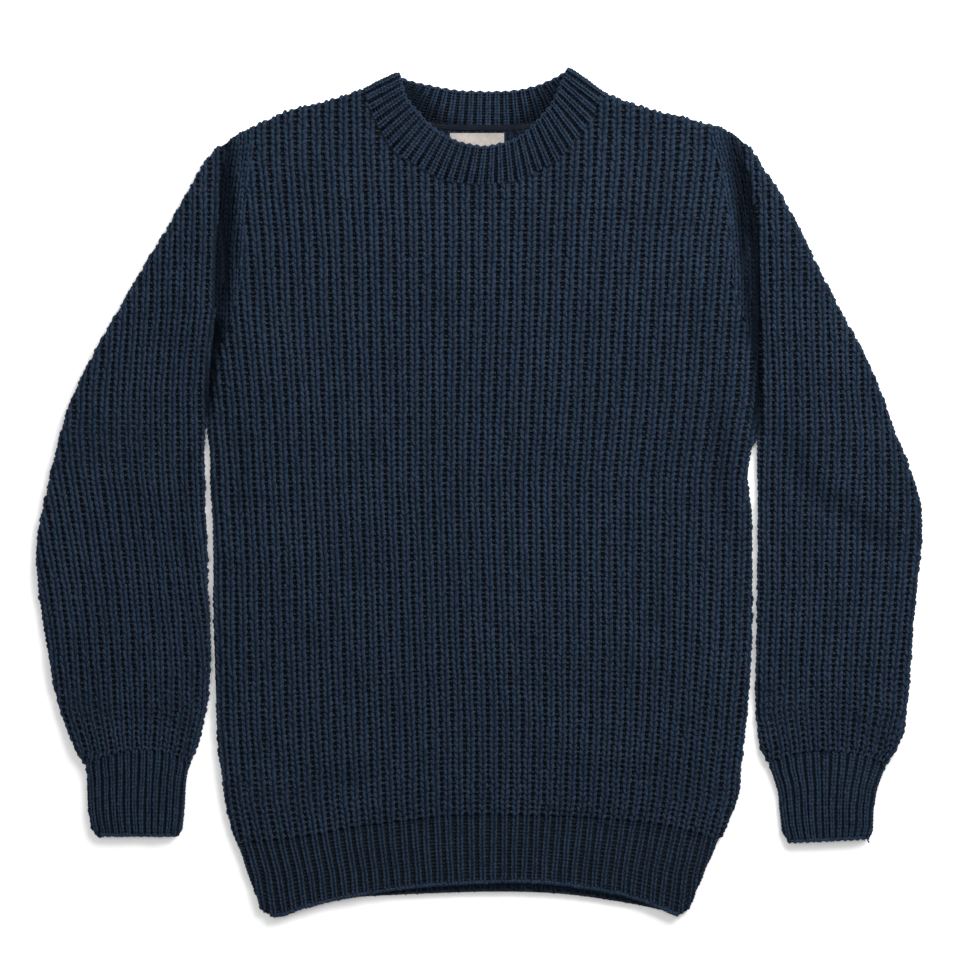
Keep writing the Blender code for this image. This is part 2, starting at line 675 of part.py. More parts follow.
def build_tube(name, tube, ribs, count, shares, station, height, relief, wool):
    """A flattened ribbed tube, slit open from end to end between its two layers."""
    middle = 0.5 * (SLIT_BOTTOM + SLIT_TOP)
    top = ribbed_top(tube, ribs, level(height), relief, middle + 0.5 * FOLD_LIP)
    bottom = rounded_bottom(tube, middle - 0.5 * FOLD_LIP)
    lines = rib_lines(tube, ribs, count, shares, station)
    piece = solid(name, tube, top, bottom, lines, [tube.moved(-FOLD_RADIUS, -FOLD_RADIUS)],
                  wool)

    slit_plan = tube.moved(-SLIT_SIDE, SLIT_OVERRUN)
    mesh = bmesh.new()
    sheet = mesh.faces.new([mesh.verts.new((x * MM, y * MM, SLIT_BOTTOM * MM))
                            for x, y in slit_plan])
    raised = bmesh.ops.extrude_face_region(mesh, geom=[sheet])["geom"]
    lift = Vector((0.0, 0.0, (SLIT_TOP - SLIT_BOTTOM) * MM))
    corners = [item for item in raised if isinstance(item, bmesh.types.BMVert)]
    bmesh.ops.translate(mesh, verts=corners, vec=lift)
    bmesh.ops.recalc_face_normals(mesh, faces=mesh.faces)
    data = bpy.data.meshes.new(name + "_slit")
    mesh.to_mesh(data)
    mesh.free()
    slit = bpy.data.objects.new(name + "_slit", data)
    slit.hide_render = True
    slit.display_type = "WIRE"
    CUTTERS.objects.link(slit)
    cut = piece.modifiers.new("slit", "BOOLEAN")
    cut.operation = "DIFFERENCE"
    cut.solver = "EXACT"
    cut.object = slit


def build_sleeves(wool):
    """Both sleeves, from the armholes to the cuffs."""
    aside = np.array((SEAM_GAP, 0.0))
    armhole = left_armhole() - aside
    inner = curve([*LEFT_SLEEVE_INNER, armhole[-1]], OUTLINE_STEP)
    left = Outline(
        ("fold", curve([armhole[0], *LEFT_SLEEVE_OUTER], OUTLINE_STEP)),
        ("seam", curve(LEFT_CUFF_SEAM, OUTLINE_STEP)),
        ("fold", inner),
        ("seam", armhole[::-1]),
    )
    build_tube("sleeve_left", left, Ribs(LEFT_SLEEVE_RIB_ROWS, LEFT_SLEEVE_GROOVE),
               SLEEVE_RIBS, RIB_LINES, RIB_STATION, SLEEVE_TOP, SLEEVE_RELIEF, wool)

    armhole = right_armhole() + aside
    inner = curve([armhole[-1], *RIGHT_SLEEVE_INNER], OUTLINE_STEP)
    right = Outline(
        ("fold", inner),
        ("seam", curve(RIGHT_CUFF_SEAM, OUTLINE_STEP)),
        ("fold", curve([*RIGHT_SLEEVE_OUTER, armhole[0]], OUTLINE_STEP)),
        ("seam", armhole),
    )
    build_tube("sleeve_right", right, Ribs(RIGHT_SLEEVE_RIB_ROWS, RIGHT_SLEEVE_GROOVE),
               SLEEVE_RIBS, RIB_LINES, RIB_STATION, SLEEVE_TOP, SLEEVE_RELIEF, wool)


def build_cuffs(wool):
    """Both cuffs, hung from the sleeves' lower seams."""
    below = np.array((0.0, -SEAM_GAP))
    sides = {
        "cuff_left": (LEFT_CUFF_OUTER, LEFT_CUFF_INNER, LEFT_CUFF_SEAM),
        "cuff_right": (RIGHT_CUFF_INNER, RIGHT_CUFF_OUTER, RIGHT_CUFF_SEAM),
    }
    for name, (left_side, right_side, seam_spots) in sides.items():
        seam = curve(seam_spots, OUTLINE_STEP) + below
        left = curve([seam[0], *left_side], OUTLINE_STEP)
        right = curve([*right_side, seam[-1]], OUTLINE_STEP)
        band = Outline(
            ("fold", left),
            ("seam", curve([left_side[-1], right_side[0]], OUTLINE_STEP)),
            ("fold", right),
            ("seam", seam[::-1]),
        )
        ribs = BandRibs(left, right, CUFF_RIBS)
        build_tube(name, band, ribs, math.ceil(CUFF_RIBS), FINE_RIB_LINES, CUFF_STATION,
                   CUFF_TOP, CUFF_RELIEF, wool)


def evenly(run, count):
    """A curve's points, shared out evenly along it."""
    steps = np.linalg.norm(np.diff(run, axis=0), axis=1)
    travelled = np.concatenate(([0.0], np.cumsum(steps)))
    marks = np.linspace(0.0, travelled[-1], count)
    return np.column_stack([np.interp(marks, travelled, run[:, axis]) for axis in (0, 1)])


def collar_sections():
    """The neckband's sections in order round the ring.

    Each is the seam point, the edge point, the way out of the cloth's outer face,
    and the ribs' relief on the outer and on the inner face.
    """
    curves = collar_curves()
    up = np.array((0.0, 0.0, 1.0))
    centre = 0.5 * (COLLAR_FRONT_MIDDLE + COLLAR_BACK_MIDDLE)
    radius = 0.5 * (COLLAR_FRONT_MIDDLE - COLLAR_BACK_MIDDLE)
    sections = []

    def add_half(seam, edge, height, ribs, facing):
        count = 2 * ribs
        for i, (low, high) in enumerate(zip(evenly(seam, count + 1), evenly(edge, count + 1))):
            raised = COLLAR_RELIEF * (i % 2) * (1.0 if 0 < i < count else 0.0)
            outer, inner = (raised, 0.0) if facing > 0 else (0.0, raised)
            sections.append((np.append(low, height), np.append(high, height),
                             facing * up, outer, inner))

    def add_turn(fold, start):
        low, high, out = neck_corners(fold)
        for step in range(1, COLLAR_TURN_STEPS):
            angle = math.pi * (0.5 - step / COLLAR_TURN_STEPS) * start
            way = np.append(out * math.cos(angle), math.sin(angle))
            sections.append((np.append(low, centre) + radius * way,
                             np.append(high, centre) + radius * way, way, 0.0, 0.0))

    add_half(curves["front_seam"], curves["front_edge"], COLLAR_FRONT_MIDDLE,
             COLLAR_FRONT_RIBS, 1.0)
    add_turn(RIGHT_COLLAR_FOLD, 1.0)
    add_half(curves["back_seam"][::-1], curves["back_edge"][::-1], COLLAR_BACK_MIDDLE,
             COLLAR_BACK_RIBS, -1.0)
    add_turn(LEFT_COLLAR_FOLD, -1.0)
    return sections


def build_collar(wool):
    """The neckband: one ring of ribbed wall, folded flat at both shoulders."""
    outer_rows = ((0.0, 1.0, 0.0), (0.5, 1.0, COLLAR_BULGE), (0.93, 1.0, 0.0), (1.0, 0.45, 0.0))
    inner_rows = ((1.0, 0.45, 0.0), (0.93, 1.0, 0.0), (0.0, 1.0, 0.0))
    mesh = bmesh.new()
    rings = []
    for side, rows in ((1.0, outer_rows), (-1.0, inner_rows)):
        for share, wall, bulge in rows:
            ring = []
            for seam, edge, out, outer_relief, inner_relief in collar_sections():
                relief = outer_relief if side > 0 else inner_relief
                relief *= wall if share < 1.0 else 0.0
                reach = COLLAR_HALF_WALL * wall + relief + bulge * max(0.0, out[2])
                place = seam + (edge - seam) * share + side * reach * out
                ring.append(mesh.verts.new(place * MM))
            rings.append(ring)
    count = len(rings[0])
    for k, ring in enumerate(rings):
        following = rings[(k + 1) % len(rings)]
        for i in range(count):
            after = (i + 1) % count
            mesh.faces.new((ring[i], ring[after], following[after], following[i]))
    bmesh.ops.triangulate(mesh, faces=mesh.faces)
    bmesh.ops.recalc_face_normals(mesh, faces=mesh.faces)
    placed("collar", mesh, wool)


def build_tape(material):
    """The woven tape that lies on the back just below its neck seam."""
    seam = collar_curves()["back_seam"]
    between = (seam[:, 0] > TAPE_ENDS[0]) & (seam[:, 0] < TAPE_ENDS[1])
    upper = seam[between] - np.array((0.0, TAPE_BELOW_SEAM))
    lower = upper - np.array((0.0, TAPE_WIDTH))
    tape = Outline(
        ("seam", lower),
        ("seam", np.array((lower[-1], upper[-1]))),
        ("seam", upper[::-1]),
        ("seam", np.array((upper[0], lower[0]))),
    )
    base = BACK_TOP + CLOTH_GAP
    solid("neck_tape", tape, level(base + TAPE_THICKNESS), level(base), [], [], material)


def build_label(material):
    """The bare woven label that hangs below the tape."""
    mesh = bmesh.new()
    bmesh.ops.create_cube(mesh, size=1.0)
    size = Vector((LABEL_WIDTH, LABEL_HEIGHT, LABEL_THICKNESS)) * MM
    bmesh.ops.scale(mesh, vec=size, verts=mesh.verts)
    bmesh.ops.bevel(mesh, geom=mesh.edges, offset=LABEL_EDGE * MM, segments=1, affect="EDGES")
    middle = Vector((LABEL_MIDDLE.x, LABEL_MIDDLE.y,
                     BACK_TOP + CLOTH_GAP + 0.5 * LABEL_THICKNESS)) * MM
    bmesh.ops.translate(mesh, vec=middle, verts=mesh.verts)
    bmesh.ops.triangulate(mesh, faces=mesh.faces)
    placed("neck_label", mesh, material)


def cloth(name, colour, roughness):
    """A cloth of one colour."""
    material = bpy.data.materials.new(name)
    material.use_nodes = True
    shader = material.node_tree.nodes["Principled BSDF"]
    shader.inputs["Base Color"].default_value = (*colour, 1.0)
    shader.inputs["Roughness"].default_value = roughness
    shader.inputs["Metallic"].default_value = 0.0
    material.diffuse_color = (*colour, 1.0)
    return material


def collection(name):
    group = bpy.data.collections.new(name)
    bpy.context.scene.collection.children.link(group)
    return group


for leftover in list(bpy.data.objects):
    bpy.data.objects.remove(leftover, do_unlink=True)

SWEATER = collection("sweater")
CUTTERS = collection("cutters")

knit = cloth("navy_rib_knit", WOOL, 0.9)
build_body(knit)
build_hems(knit)
build_sleeves(knit)
build_cuffs(knit)
build_collar(knit)
build_tape(cloth("neck_tape_weave", TAPE_CLOTH, 0.8))
build_label(cloth("label_weave", LABEL_CLOTH, 0.75))
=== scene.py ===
"""Looks of a chunky rib sweater that lies flat on its back.

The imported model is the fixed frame.  A ground of cloth on each solid's own form replaces
the solid, and the stitches lie on that ground, one leg of yarn at a time.  Sizes are in
millimetres until a mesh is made.  X runs across the sweater, Y from the hem to the neck
and Z up, out of the front.  Left and right are as the camera sees them.
"""
from __future__ import annotations

import logging
import math
from dataclasses import dataclass, field
from enum import Enum
from typing import Callable, ClassVar, NamedTuple, Sequence, Union

import bmesh
import bpy
import numpy as np
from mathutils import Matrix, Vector
from mathutils.bvhtree import BVHTree


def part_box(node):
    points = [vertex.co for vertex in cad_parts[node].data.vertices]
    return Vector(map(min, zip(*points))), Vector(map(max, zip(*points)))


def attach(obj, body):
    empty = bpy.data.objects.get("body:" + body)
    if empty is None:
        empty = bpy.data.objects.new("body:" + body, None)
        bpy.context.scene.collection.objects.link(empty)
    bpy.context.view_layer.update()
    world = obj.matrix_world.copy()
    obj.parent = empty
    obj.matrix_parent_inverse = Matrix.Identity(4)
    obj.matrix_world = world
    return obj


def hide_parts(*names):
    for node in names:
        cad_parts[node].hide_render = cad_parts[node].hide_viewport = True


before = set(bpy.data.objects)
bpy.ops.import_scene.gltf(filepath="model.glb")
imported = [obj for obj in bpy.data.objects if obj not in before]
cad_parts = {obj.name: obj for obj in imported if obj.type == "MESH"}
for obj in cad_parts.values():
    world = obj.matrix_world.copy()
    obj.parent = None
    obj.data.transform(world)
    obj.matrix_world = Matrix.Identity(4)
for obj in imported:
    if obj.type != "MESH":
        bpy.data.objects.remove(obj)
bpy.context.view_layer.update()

MM = 0.001
Colour = tuple[float, float, float]
log = logging.getLogger("sweater")


class Spot(NamedTuple):
    """A place in plan."""

    x: float
    y: float


class RibRow(NamedTuple):
    """Where the middle groove is at one height, and the rib widths beside it."""

    y: float
    middle: float
    left_pitch: float
    right_pitch: float


def path(*places: tuple[float, float]) -> list[Spot]:
    """Places in plan along a line."""
    return [Spot(*place) for place in places]


def rib_rows(*rows: tuple[float, float, float, float]) -> list[RibRow]:
    """Rows of a rib table: height, middle groove, left pitch and right pitch."""
    return [RibRow(*row) for row in rows]


BODY_RIB_ROWS = rib_rows(
    (-384.0, 17.8, 9.5, 8.9), (-347.6, 17.8, 9.76, 9.15), (-323.1, 18.0, 10.09, 9.46),
    (-282.1, 18.8, 10.51, 9.95), (-209.3, 18.9, 10.75, 10.30), (-136.5, 16.1, 10.71, 10.71),
    (-63.7, 13.7, 10.66, 10.92), (9.1, 11.8, 10.78, 11.11), (81.9, 13.8, 11.10, 11.57),
    (154.7, 16.2, 11.58, 11.68), (227.5, 17.6, 11.86, 11.89), (300.3, 18.2, 12.30, 12.40),
    (373.1, 18.7, 12.40, 12.60))
LEFT_SLEEVE_RIB_ROWS = rib_rows(
    (-262.0, -311.0, 6.9, 6.9), (-236.6, -303.1, 7.6, 7.8), (-200.2, -302.3, 9.3, 9.2),
    (-163.8, -303.4, 9.6, 9.6), (-127.4, -305.0, 9.8, 9.4), (-91.0, -308.1, 10.1, 9.1),
    (-54.6, -312.0, 10.5, 9.1), (-18.2, -316.5, 10.7, 9.3), (18.2, -321.5, 11.0, 9.7),
    (54.6, -323.9, 11.1, 10.1), (91.0, -322.9, 11.0, 9.8), (127.4, -320.3, 10.6, 9.8),
    (163.8, -318.1, 10.7, 10.1), (236.6, -316.7, 10.7, 10.2), (316.0, -316.0, 10.7, 10.2))
RIGHT_SLEEVE_RIB_ROWS = rib_rows(
    (-262.0, 305.0, 6.9, 6.9), (-236.6, 312.1, 8.5, 8.5), (-200.2, 310.4, 9.6, 10.0),
    (-163.8, 311.0, 9.6, 10.2), (-91.0, 314.7, 9.8, 10.6), (-54.6, 315.1, 9.9, 11.0),
    (-18.2, 315.9, 10.1, 11.1), (18.2, 319.3, 10.7, 10.4), (54.6, 320.5, 10.6, 9.9),
    (91.0, 318.3, 10.2, 9.6), (163.8, 315.9, 10.2, 10.4), (316.0, 316.7, 11.0, 10.8))

HEM_SEAM = path(
    (-219.3, -320.3), (-167.4, -315.4), (-111.0, -305.8), (-70.1, -300.3), (-17.3, -294.8),
    (66.4, -295.8), (150.2, -301.2), (188.4, -308.5), (217.5, -317.6))
HEM_FRONT_EDGE = path(
    (-198.4, -380.0), (-190.0, -384.4), (-180.0, -384.8), (-157.0, -376.8), (-121.9, -368.6),
    (-71.9, -360.4), (-17.3, -355.8), (51.9, -354.4), (116.5, -363.1), (150.2, -372.2), (181.0, -384.8),
    (190.2, -380.0))
HEM_BACK_EDGE = path(
    (-198.4, -381.0), (-192.0, -385.2), (-181.1, -385.8), (-162.9, -379.5), (-126.5, -371.3),
    (-71.9, -367.6), (10.0, -364.9), (73.7, -366.7), (128.3, -374.0), (164.7, -381.3), (182.0, -385.8),
    (190.2, -381.0))
LEFT_CUFF_SEAM = path(
    (-357.5, -250.0), (-335.0, -240.0), (-311.0, -236.0), (-286.0, -238.4), (-262.5, -247.0))
RIGHT_CUFF_SEAM = path((263.0, -248.0), (289.0, -239.0), (317.0, -236.6), (345.0, -240.4), (370.0, -250.0))
LEFT_CUFF_EDGE = path((-346.0, -314.6), (-274.6, -314.9))
RIGHT_CUFF_EDGE = path((281.4, -320.6), (352.6, -317.0))

LEFT_ARMHOLE = path(
    (-228.4, 315.8), (-233.9, 273.0), (-238.4, 223.9), (-239.3, 172.9), (-240.0, 141.1), (-243.0, 100.1),
    (-247.5, 63.7))
RIGHT_ARMHOLE = path(
    (234.8, 320.3), (244.8, 282.1), (250.3, 248.0), (253.0, 209.3), (253.6, 160.0), (253.9, 112.8),
    (253.2, 81.9), (252.5, 49.1))

FRONT_NECK_SEAM = path(
    (-101.0, 352.2), (-92.4, 333.1), (-83.7, 317.6), (-75.5, 306.7), (-65.5, 300.3), (-50.1, 291.2),
    (-34.6, 283.0), (-17.3, 279.4), (1.8, 277.6), (20.5, 279.4), (39.1, 283.0), (54.6, 291.2),
    (71.0, 300.3), (82.8, 313.0), (92.8, 325.8), (101.9, 339.4))
FRONT_NECK_EDGE = path(
    (-65.7, 356.7), (-54.6, 343.1), (-43.7, 331.2), (-30.0, 322.1), (-17.3, 315.8), (-4.6, 313.0),
    (8.2, 312.1), (20.5, 314.9), (32.8, 318.5), (45.5, 328.5), (56.4, 339.4), (66.0, 352.2))
BACK_NECK_SEAM = path(
    (-76.4, 345.8), (-50.1, 336.7), (-30.0, 333.1), (-1.8, 332.2), (23.7, 332.2), (51.0, 334.9),
    (82.8, 345.8))
BACK_NECK_EDGE = path(
    (-62.8, 371.6), (-50.1, 368.6), (-35.9, 365.8), (-20.0, 363.1), (-1.8, 362.2), (17.3, 362.2),
    (32.8, 363.1), (48.7, 366.3), (61.0, 370.6))
LEFT_COLLAR_FOLD = (Spot(-102.8, 365.0), Spot(-72.8, 379.5))
RIGHT_COLLAR_FOLD = (Spot(112.8, 361.3), Spot(81.0, 384.0))


# Shader maths


class Value:
    """A socket in a material, on which arithmetic adds Math nodes."""

    def __init__(self, shader: Shader, socket: bpy.types.NodeSocket) -> None:
        """Keep the socket and the shader that it is in."""
        self.shader = shader
        self.socket = socket

    def _maths(self, operation: str, *others: Feed) -> Value:
        """Add a Math node whose first input is this socket."""
        return self.shader.node("ShaderNodeMath", {"operation": operation}, (self, *others))

    def __add__(self, other: Feed) -> Value:
        """Add."""
        return self._maths("ADD", other)

    __radd__ = __add__

    def __sub__(self, other: Feed) -> Value:
        """Subtract."""
        return self._maths("SUBTRACT", other)

    def __rsub__(self, other: Feed) -> Value:
        """Subtract this value from another."""
        return self.shader.node("ShaderNodeMath", {"operation": "SUBTRACT"}, (other, self))

    def __mul__(self, other: Feed) -> Value:
        """Multiply."""
        return self._maths("MULTIPLY", other)

    __rmul__ = __mul__

    def sine(self) -> Value:
        """The sine of the value."""
        return self._maths("SINE")

    def fraction(self) -> Value:
        """The part after the point."""
        return self._maths("FRACT")

    def size(self) -> Value:
        """The value without its sign."""
        return self._maths("ABSOLUTE")

    def step(self, low: float, high: float) -> Value:
        """A smooth step from 0 to 1.

        Args:
            low: The value where the step starts.
            high: The value where it ends.

        Returns:
            The stepped value.
        """
        settings = {"interpolation_type": "SMOOTHSTEP"}
        return self.shader.node("ShaderNodeMapRange", settings,
                                {"Value": self, "From Min": low, "From Max": high})


Feed = Union[Value, float, Sequence[float]]


# Painted shade: the share of the dye that a colour goes down to where the fold map is full.
PAINTED_SHADE_SHARE = 0.26


class Shader:
    """One material and its nodes."""

    def __init__(self, name: str) -> None:
        """Start a material with the usual surface shader."""
        self.material = bpy.data.materials.new(name)
        self.material.use_nodes = True
        self.tree = self.material.node_tree
        self.surface = self.tree.nodes["Principled BSDF"]

    def feed(self, socket: bpy.types.NodeSocket, value: Feed) -> None:
        """Link a value to a socket, or set the socket to a number or colour."""
        if isinstance(value, Value):
            self.tree.links.new(value.socket, socket)
        else:
            socket.default_value = value

    def node(self, kind: str, settings: dict, inputs: Union[dict, Sequence],
             output: Union[int, str] = 0) -> Value:
        """Add a node.

        Args:
            kind: The node's type.
            settings: Its properties, which are set first.
            inputs: Values or links for its sockets, in order or by name.
            output: The socket that comes out.

        Returns:
            The chosen output.
        """
        made = self.tree.nodes.new(kind)
        for key, value in settings.items():
            setattr(made, key, value)
        pairs = inputs.items() if isinstance(inputs, dict) else enumerate(inputs)
        for key, value in pairs:
            self.feed(made.inputs[key], value)
        return Value(self, made.outputs[output])

    def place(self) -> Value:
        """Where a point of the object is."""
        return self.node("ShaderNodeTexCoord", {}, {}, "Object")

    def noise(self, place: Value, per_metre: float, detail: float = 2.0) -> Value:
        """Soft noise with a mean of 0.

        Args:
            place: The coordinates.
            per_metre: How many of its features there are in a metre.
            detail: How many finer layers it has.

        Returns:
            The noise.
        """
        inputs = {"Vector": place, "Scale": per_metre, "Detail": detail, "Roughness": 0.55}
        return self.node("ShaderNodeTexNoise", {}, inputs, "Fac") - 0.5

    def blend(self, share: Feed, first: Feed, second: Feed) -> Value:
        """Mix two colours."""
        opaque = [(*c, 1.0) if isinstance(c, tuple) else c for c in (first, second)]
        return self.node("ShaderNodeMix", {"data_type": "RGBA"},
                         {0: share, 6: opaque[0], 7: opaque[1]}, 2)

    def split(self, name: str) -> tuple[Value, Value]:
        """Both coordinates of a UV map."""
        flat = self.node("ShaderNodeUVMap", {"uv_map": name}, {})
        parts = self.tree.nodes.new("ShaderNodeSeparateXYZ")
        self.feed(parts.inputs[0], flat)
        return Value(self, parts.outputs[0]), Value(self, parts.outputs[1])

    def bump(self, height: Value, distance: float, strength: float = 1.0) -> None:
        """Raise the surface by a height, in metres at 1."""
        inputs = {"Height": height, "Distance": distance, "Strength": strength}
        self.feed(self.surface.inputs["Normal"],
                  self.node("ShaderNodeBump", {}, inputs, "Normal"))

    def with_painted_shade(self, before_fold_shade: Value, dye: Colour) -> Value:
        """The colour, darkened towards a quarter of the dye by the fold map: painted shade in creases and shaded
        places.
        """
        deep, _ = self.split("fold")
        return self.blend(deep, before_fold_shade, tuple(PAINTED_SHADE_SHARE * part for part in dye))

    def dress(self, colour: Feed, rough: Feed, gloss: float, nap: float = 0.0,
              tint: Colour = (0.3, 0.5, 0.95)) -> bpy.types.Material:
        """Set how the surface looks.

        Args:
            colour: Its colour.
            rough: Its roughness.
            gloss: How much it reflects.
            nap: How strong the soft rim light of its nap is.
            tint: The colour of that light.

        Returns:
            The material.
        """
        looks = {"Base Color": colour, "Roughness": rough, "Specular IOR Level": gloss,
                 "Sheen Weight": nap, "Sheen Roughness": 0.5, "Sheen Tint": (*tint, 1.0)}
        for name, value in looks.items():
            self.feed(self.surface.inputs[name], value)
        return self.material


# Finishes


@dataclass(frozen=True)
class CottonYarn:
    """Thick navy cotton yarn of several plies with a soft nap."""

    name: str
    shade: Colour
    light: Colour
    heather: Colour
    plies: float = 3.0
    twist: float = 0.55
    nap: float = 0.06

    def material(self) -> bpy.types.Material:
        """Make the yarn's material."""
        shader = Shader(self.name)
        place = shader.place()
        around, along = shader.split("yarn")
        ply = ((around * (0.5 * self.plies) + along * self.twist) * math.tau).sine()
        dye = shader.noise(place, 26.0)
        stitch = shader.noise(place, 260.0, 1.0)
        lint = shader.noise(place, 800.0, 2.0)
        fibre = shader.noise(place, 1900.0, 3.0)
        tone = 0.5 + dye * 0.5 + stitch * 1.1 + lint * 1.3 + fibre * 0.7 + ply * 0.13
        hue = shader.noise(place, 170.0, 1.0).step(-0.16, 0.16)
        before_fold_shade = shader.blend(tone.step(0.0, 1.0), self.shade,
                            shader.blend(hue, self.light, self.heather))
        shader.bump(ply * 0.5 + fibre * 1.1, 0.00035, 0.8)
        # Painted shade darkens the yarn in creases and shaded places.
        return shader.dress(shader.with_painted_shade(before_fold_shade, self.shade), 0.88 + fibre * 0.2, 0.04, self.nap)


@dataclass(frozen=True)
class KnitGround:
    """The knitting under and between the stitches, with its own small stitches."""

    name: str
    groove: Colour
    wool: Colour

    def material(self) -> bpy.types.Material:
        """Make the ground's material."""
        shader = Shader(self.name)
        rib, course = shader.split("knit")
        aside = (rib.fraction() - 0.5).size() * 2.0
        crest = 1.0 - aside.step(0.45, 0.85)
        leg = ((course - aside * 0.9).fraction() * math.pi).sine()
        parted = aside.step(0.0, 0.16)
        purl = (course * math.tau).sine() * 0.12 + 0.12
        height = crest * (0.35 + 0.65 * leg) * (0.45 + 0.55 * parted) + (1.0 - crest) * purl
        fibre = shader.noise(shader.place(), 1500.0, 3.0)
        # Painted shade: the ground's colour is darker where its pattern is low, in the grooves between its small
        # stitches.
        shade = (height + fibre * 0.4).step(0.0, 1.1)
        before_fold_shade = shader.blend(shade, self.groove, self.wool)
        shader.bump(height + fibre * 0.15, 0.0016)
        # Painted shade darkens the ground in creases and shaded places, as for the yarn.
        return shader.dress(shader.with_painted_shade(before_fold_shade, self.groove), 0.9 + fibre * 0.15, 0.02, 0.02)


@dataclass(frozen=True)
class WovenCloth:
    """A small woven piece: twill tape or a label."""

    name: str
    shade: Colour
    light: Colour
    threads: float
    slant: float
    rough: float
    gloss: float

    def material(self) -> bpy.types.Material:
        """Make the cloth's material."""
        shader = Shader(self.name)
        across, along = shader.split("weave")
        warp = (across * (self.threads * math.tau)).sine()
        weft = ((along + across * self.slant) * (self.threads * math.tau)).sine()
        weave = warp * weft * 0.5 + weft * 0.3
        place = shader.place()
        wear = shader.noise(place, 90.0, 3.0)
        slub = shader.noise(place, 900.0, 2.0)
        tone = 0.55 + weave * 0.28 + wear * 0.8 + slub * 0.6
        shader.bump(weave * 0.5 + slub * 0.5, 0.0002)
        return shader.dress(shader.blend(tone.step(0.0, 1.0), self.shade, self.light),
                            self.rough + slub * 0.2, 2.0 * self.gloss, self.gloss, (0.9, 0.9, 0.9))


@dataclass(frozen=True)
class PlainPaper:
    """The pale floor."""

    name: str = "pale_floor"
    tint: Colour = (0.92, 0.92, 0.92)

    def material(self) -> bpy.types.Material:
        """Make the floor's material."""
        return Shader(self.name).dress((*self.tint, 1.0), 0.95, 0.1)


# Shapes in plan


def curve(spots: Sequence[Sequence[float]], step: float) -> np.ndarray:
    """Points about one step apart on a smooth curve.

    Args:
        spots: The places that the curve goes through.
        step: How far apart the points are.

    Returns:
        The points.
    """
    nodes = np.array([tuple(spot) for spot in spots], dtype=float)
    ends = np.vstack((2 * nodes[0] - nodes[1], nodes, 2 * nodes[-1] - nodes[-2]))
    run = []
    for i in range(1, len(ends) - 2):
        before, start, end, after = ends[i - 1:i + 3]
        parts = max(1, round(float(np.linalg.norm(end - start)) / step))
        for part in range(parts):
            t = part / parts
            bend = 2 * before - 5 * start + 4 * end - after
            twist = 3 * start - before - 3 * end + after
            run.append(start + 0.5 * ((end - before) * t + bend * t ** 2 + twist * t ** 3))
    run.append(nodes[-1])
    return np.array(run)


def evenly(run: np.ndarray, marks: np.ndarray) -> np.ndarray:
    """Points at shares of a curve's length.

    Args:
        run: The curve's points.
        marks: The shares, from 0 at its start to 1 at its end.

    Returns:
        One point for each share.
    """
    steps = np.linalg.norm(np.diff(run, axis=0), axis=1)
    travelled = np.concatenate(([0.0], np.cumsum(steps)))
    place = np.asarray(marks) * travelled[-1]
    return np.stack([np.interp(place, travelled, run[:, k]) for k in range(2)], axis=-1)


def unit(vectors: np.ndarray) -> np.ndarray:
    """The same directions, with a length of 1."""
    return vectors / np.maximum(np.linalg.norm(vectors, axis=-1, keepdims=True), 1e-9)


class Ribs:
    """Where the ribs of a panel run."""

    def __init__(self, rows: Sequence[RibRow], middle_groove: int, count: float) -> None:
        """Keep the rows by height.

        Args:
            rows: Where the middle groove is at each height, with the rib widths.
            middle_groove: The number of that groove.
            count: How many ribs there are.
        """
        table = np.array([tuple(row) for row in sorted(rows)])
        self.heights, self.middles, self.left, self.right = table.T
        self.middle_groove = middle_groove
        self.count = count

    def place(self, number: np.ndarray, y: np.ndarray) -> np.ndarray:
        """The X of a groove, or of a share of a rib, at each height."""
        steps = number - self.middle_groove
        left = np.interp(y, self.heights, self.left)
        right = np.interp(y, self.heights, self.right)
        return np.interp(y, self.heights, self.middles) + steps * np.where(steps < 0, left, right)

    def number(self, places: np.ndarray) -> np.ndarray:
        """The number of the groove, and the share of a rib, at each place."""
        x, y = places[:, 0], places[:, 1]
        aside = x - np.interp(y, self.heights, self.middles)
        left = np.interp(y, self.heights, self.left)
        right = np.interp(y, self.heights, self.right)
        return self.middle_groove + aside / np.where(aside < 0, left, right)


BAND_LEVELS = 8
ABOVE_EDGE = 6.0
BELOW_SEAM = 17.0
FLARE = 0.7


def band_ribs(rim: np.ndarray, count: float) -> Ribs:
    """Ribs that share out a band's width evenly between its two sides.

    Args:
        rim: The band's outline.
        count: How many ribs fit between its sides.

    Returns:
        The ribs.
    """
    start, end = rim[:, :2], np.roll(rim[:, :2], -1, axis=0)
    top = start[:, 1].max()
    levels = np.linspace(start[:, 1].min() + ABOVE_EDGE, top - BELOW_SEAM, BAND_LEVELS)
    sides = []
    for y in levels:
        crosses = (start[:, 1] > y) != (end[:, 1] > y)
        a, b = start[crosses], end[crosses]
        x = a[:, 0] + (y - a[:, 1]) * (b[:, 0] - a[:, 0]) / (b[:, 1] - a[:, 1])
        sides.append((x.min(), x.max()))
    sides.append(tuple(sides[-1] + FLARE * (np.array(sides[-1]) - sides[-3])))
    rows = []
    for y, (left, right) in zip((*levels, top), sides):
        pitch = (right - left) / count
        rows.append(RibRow(y, left, pitch, pitch))
    return Ribs(rows, 0, count)


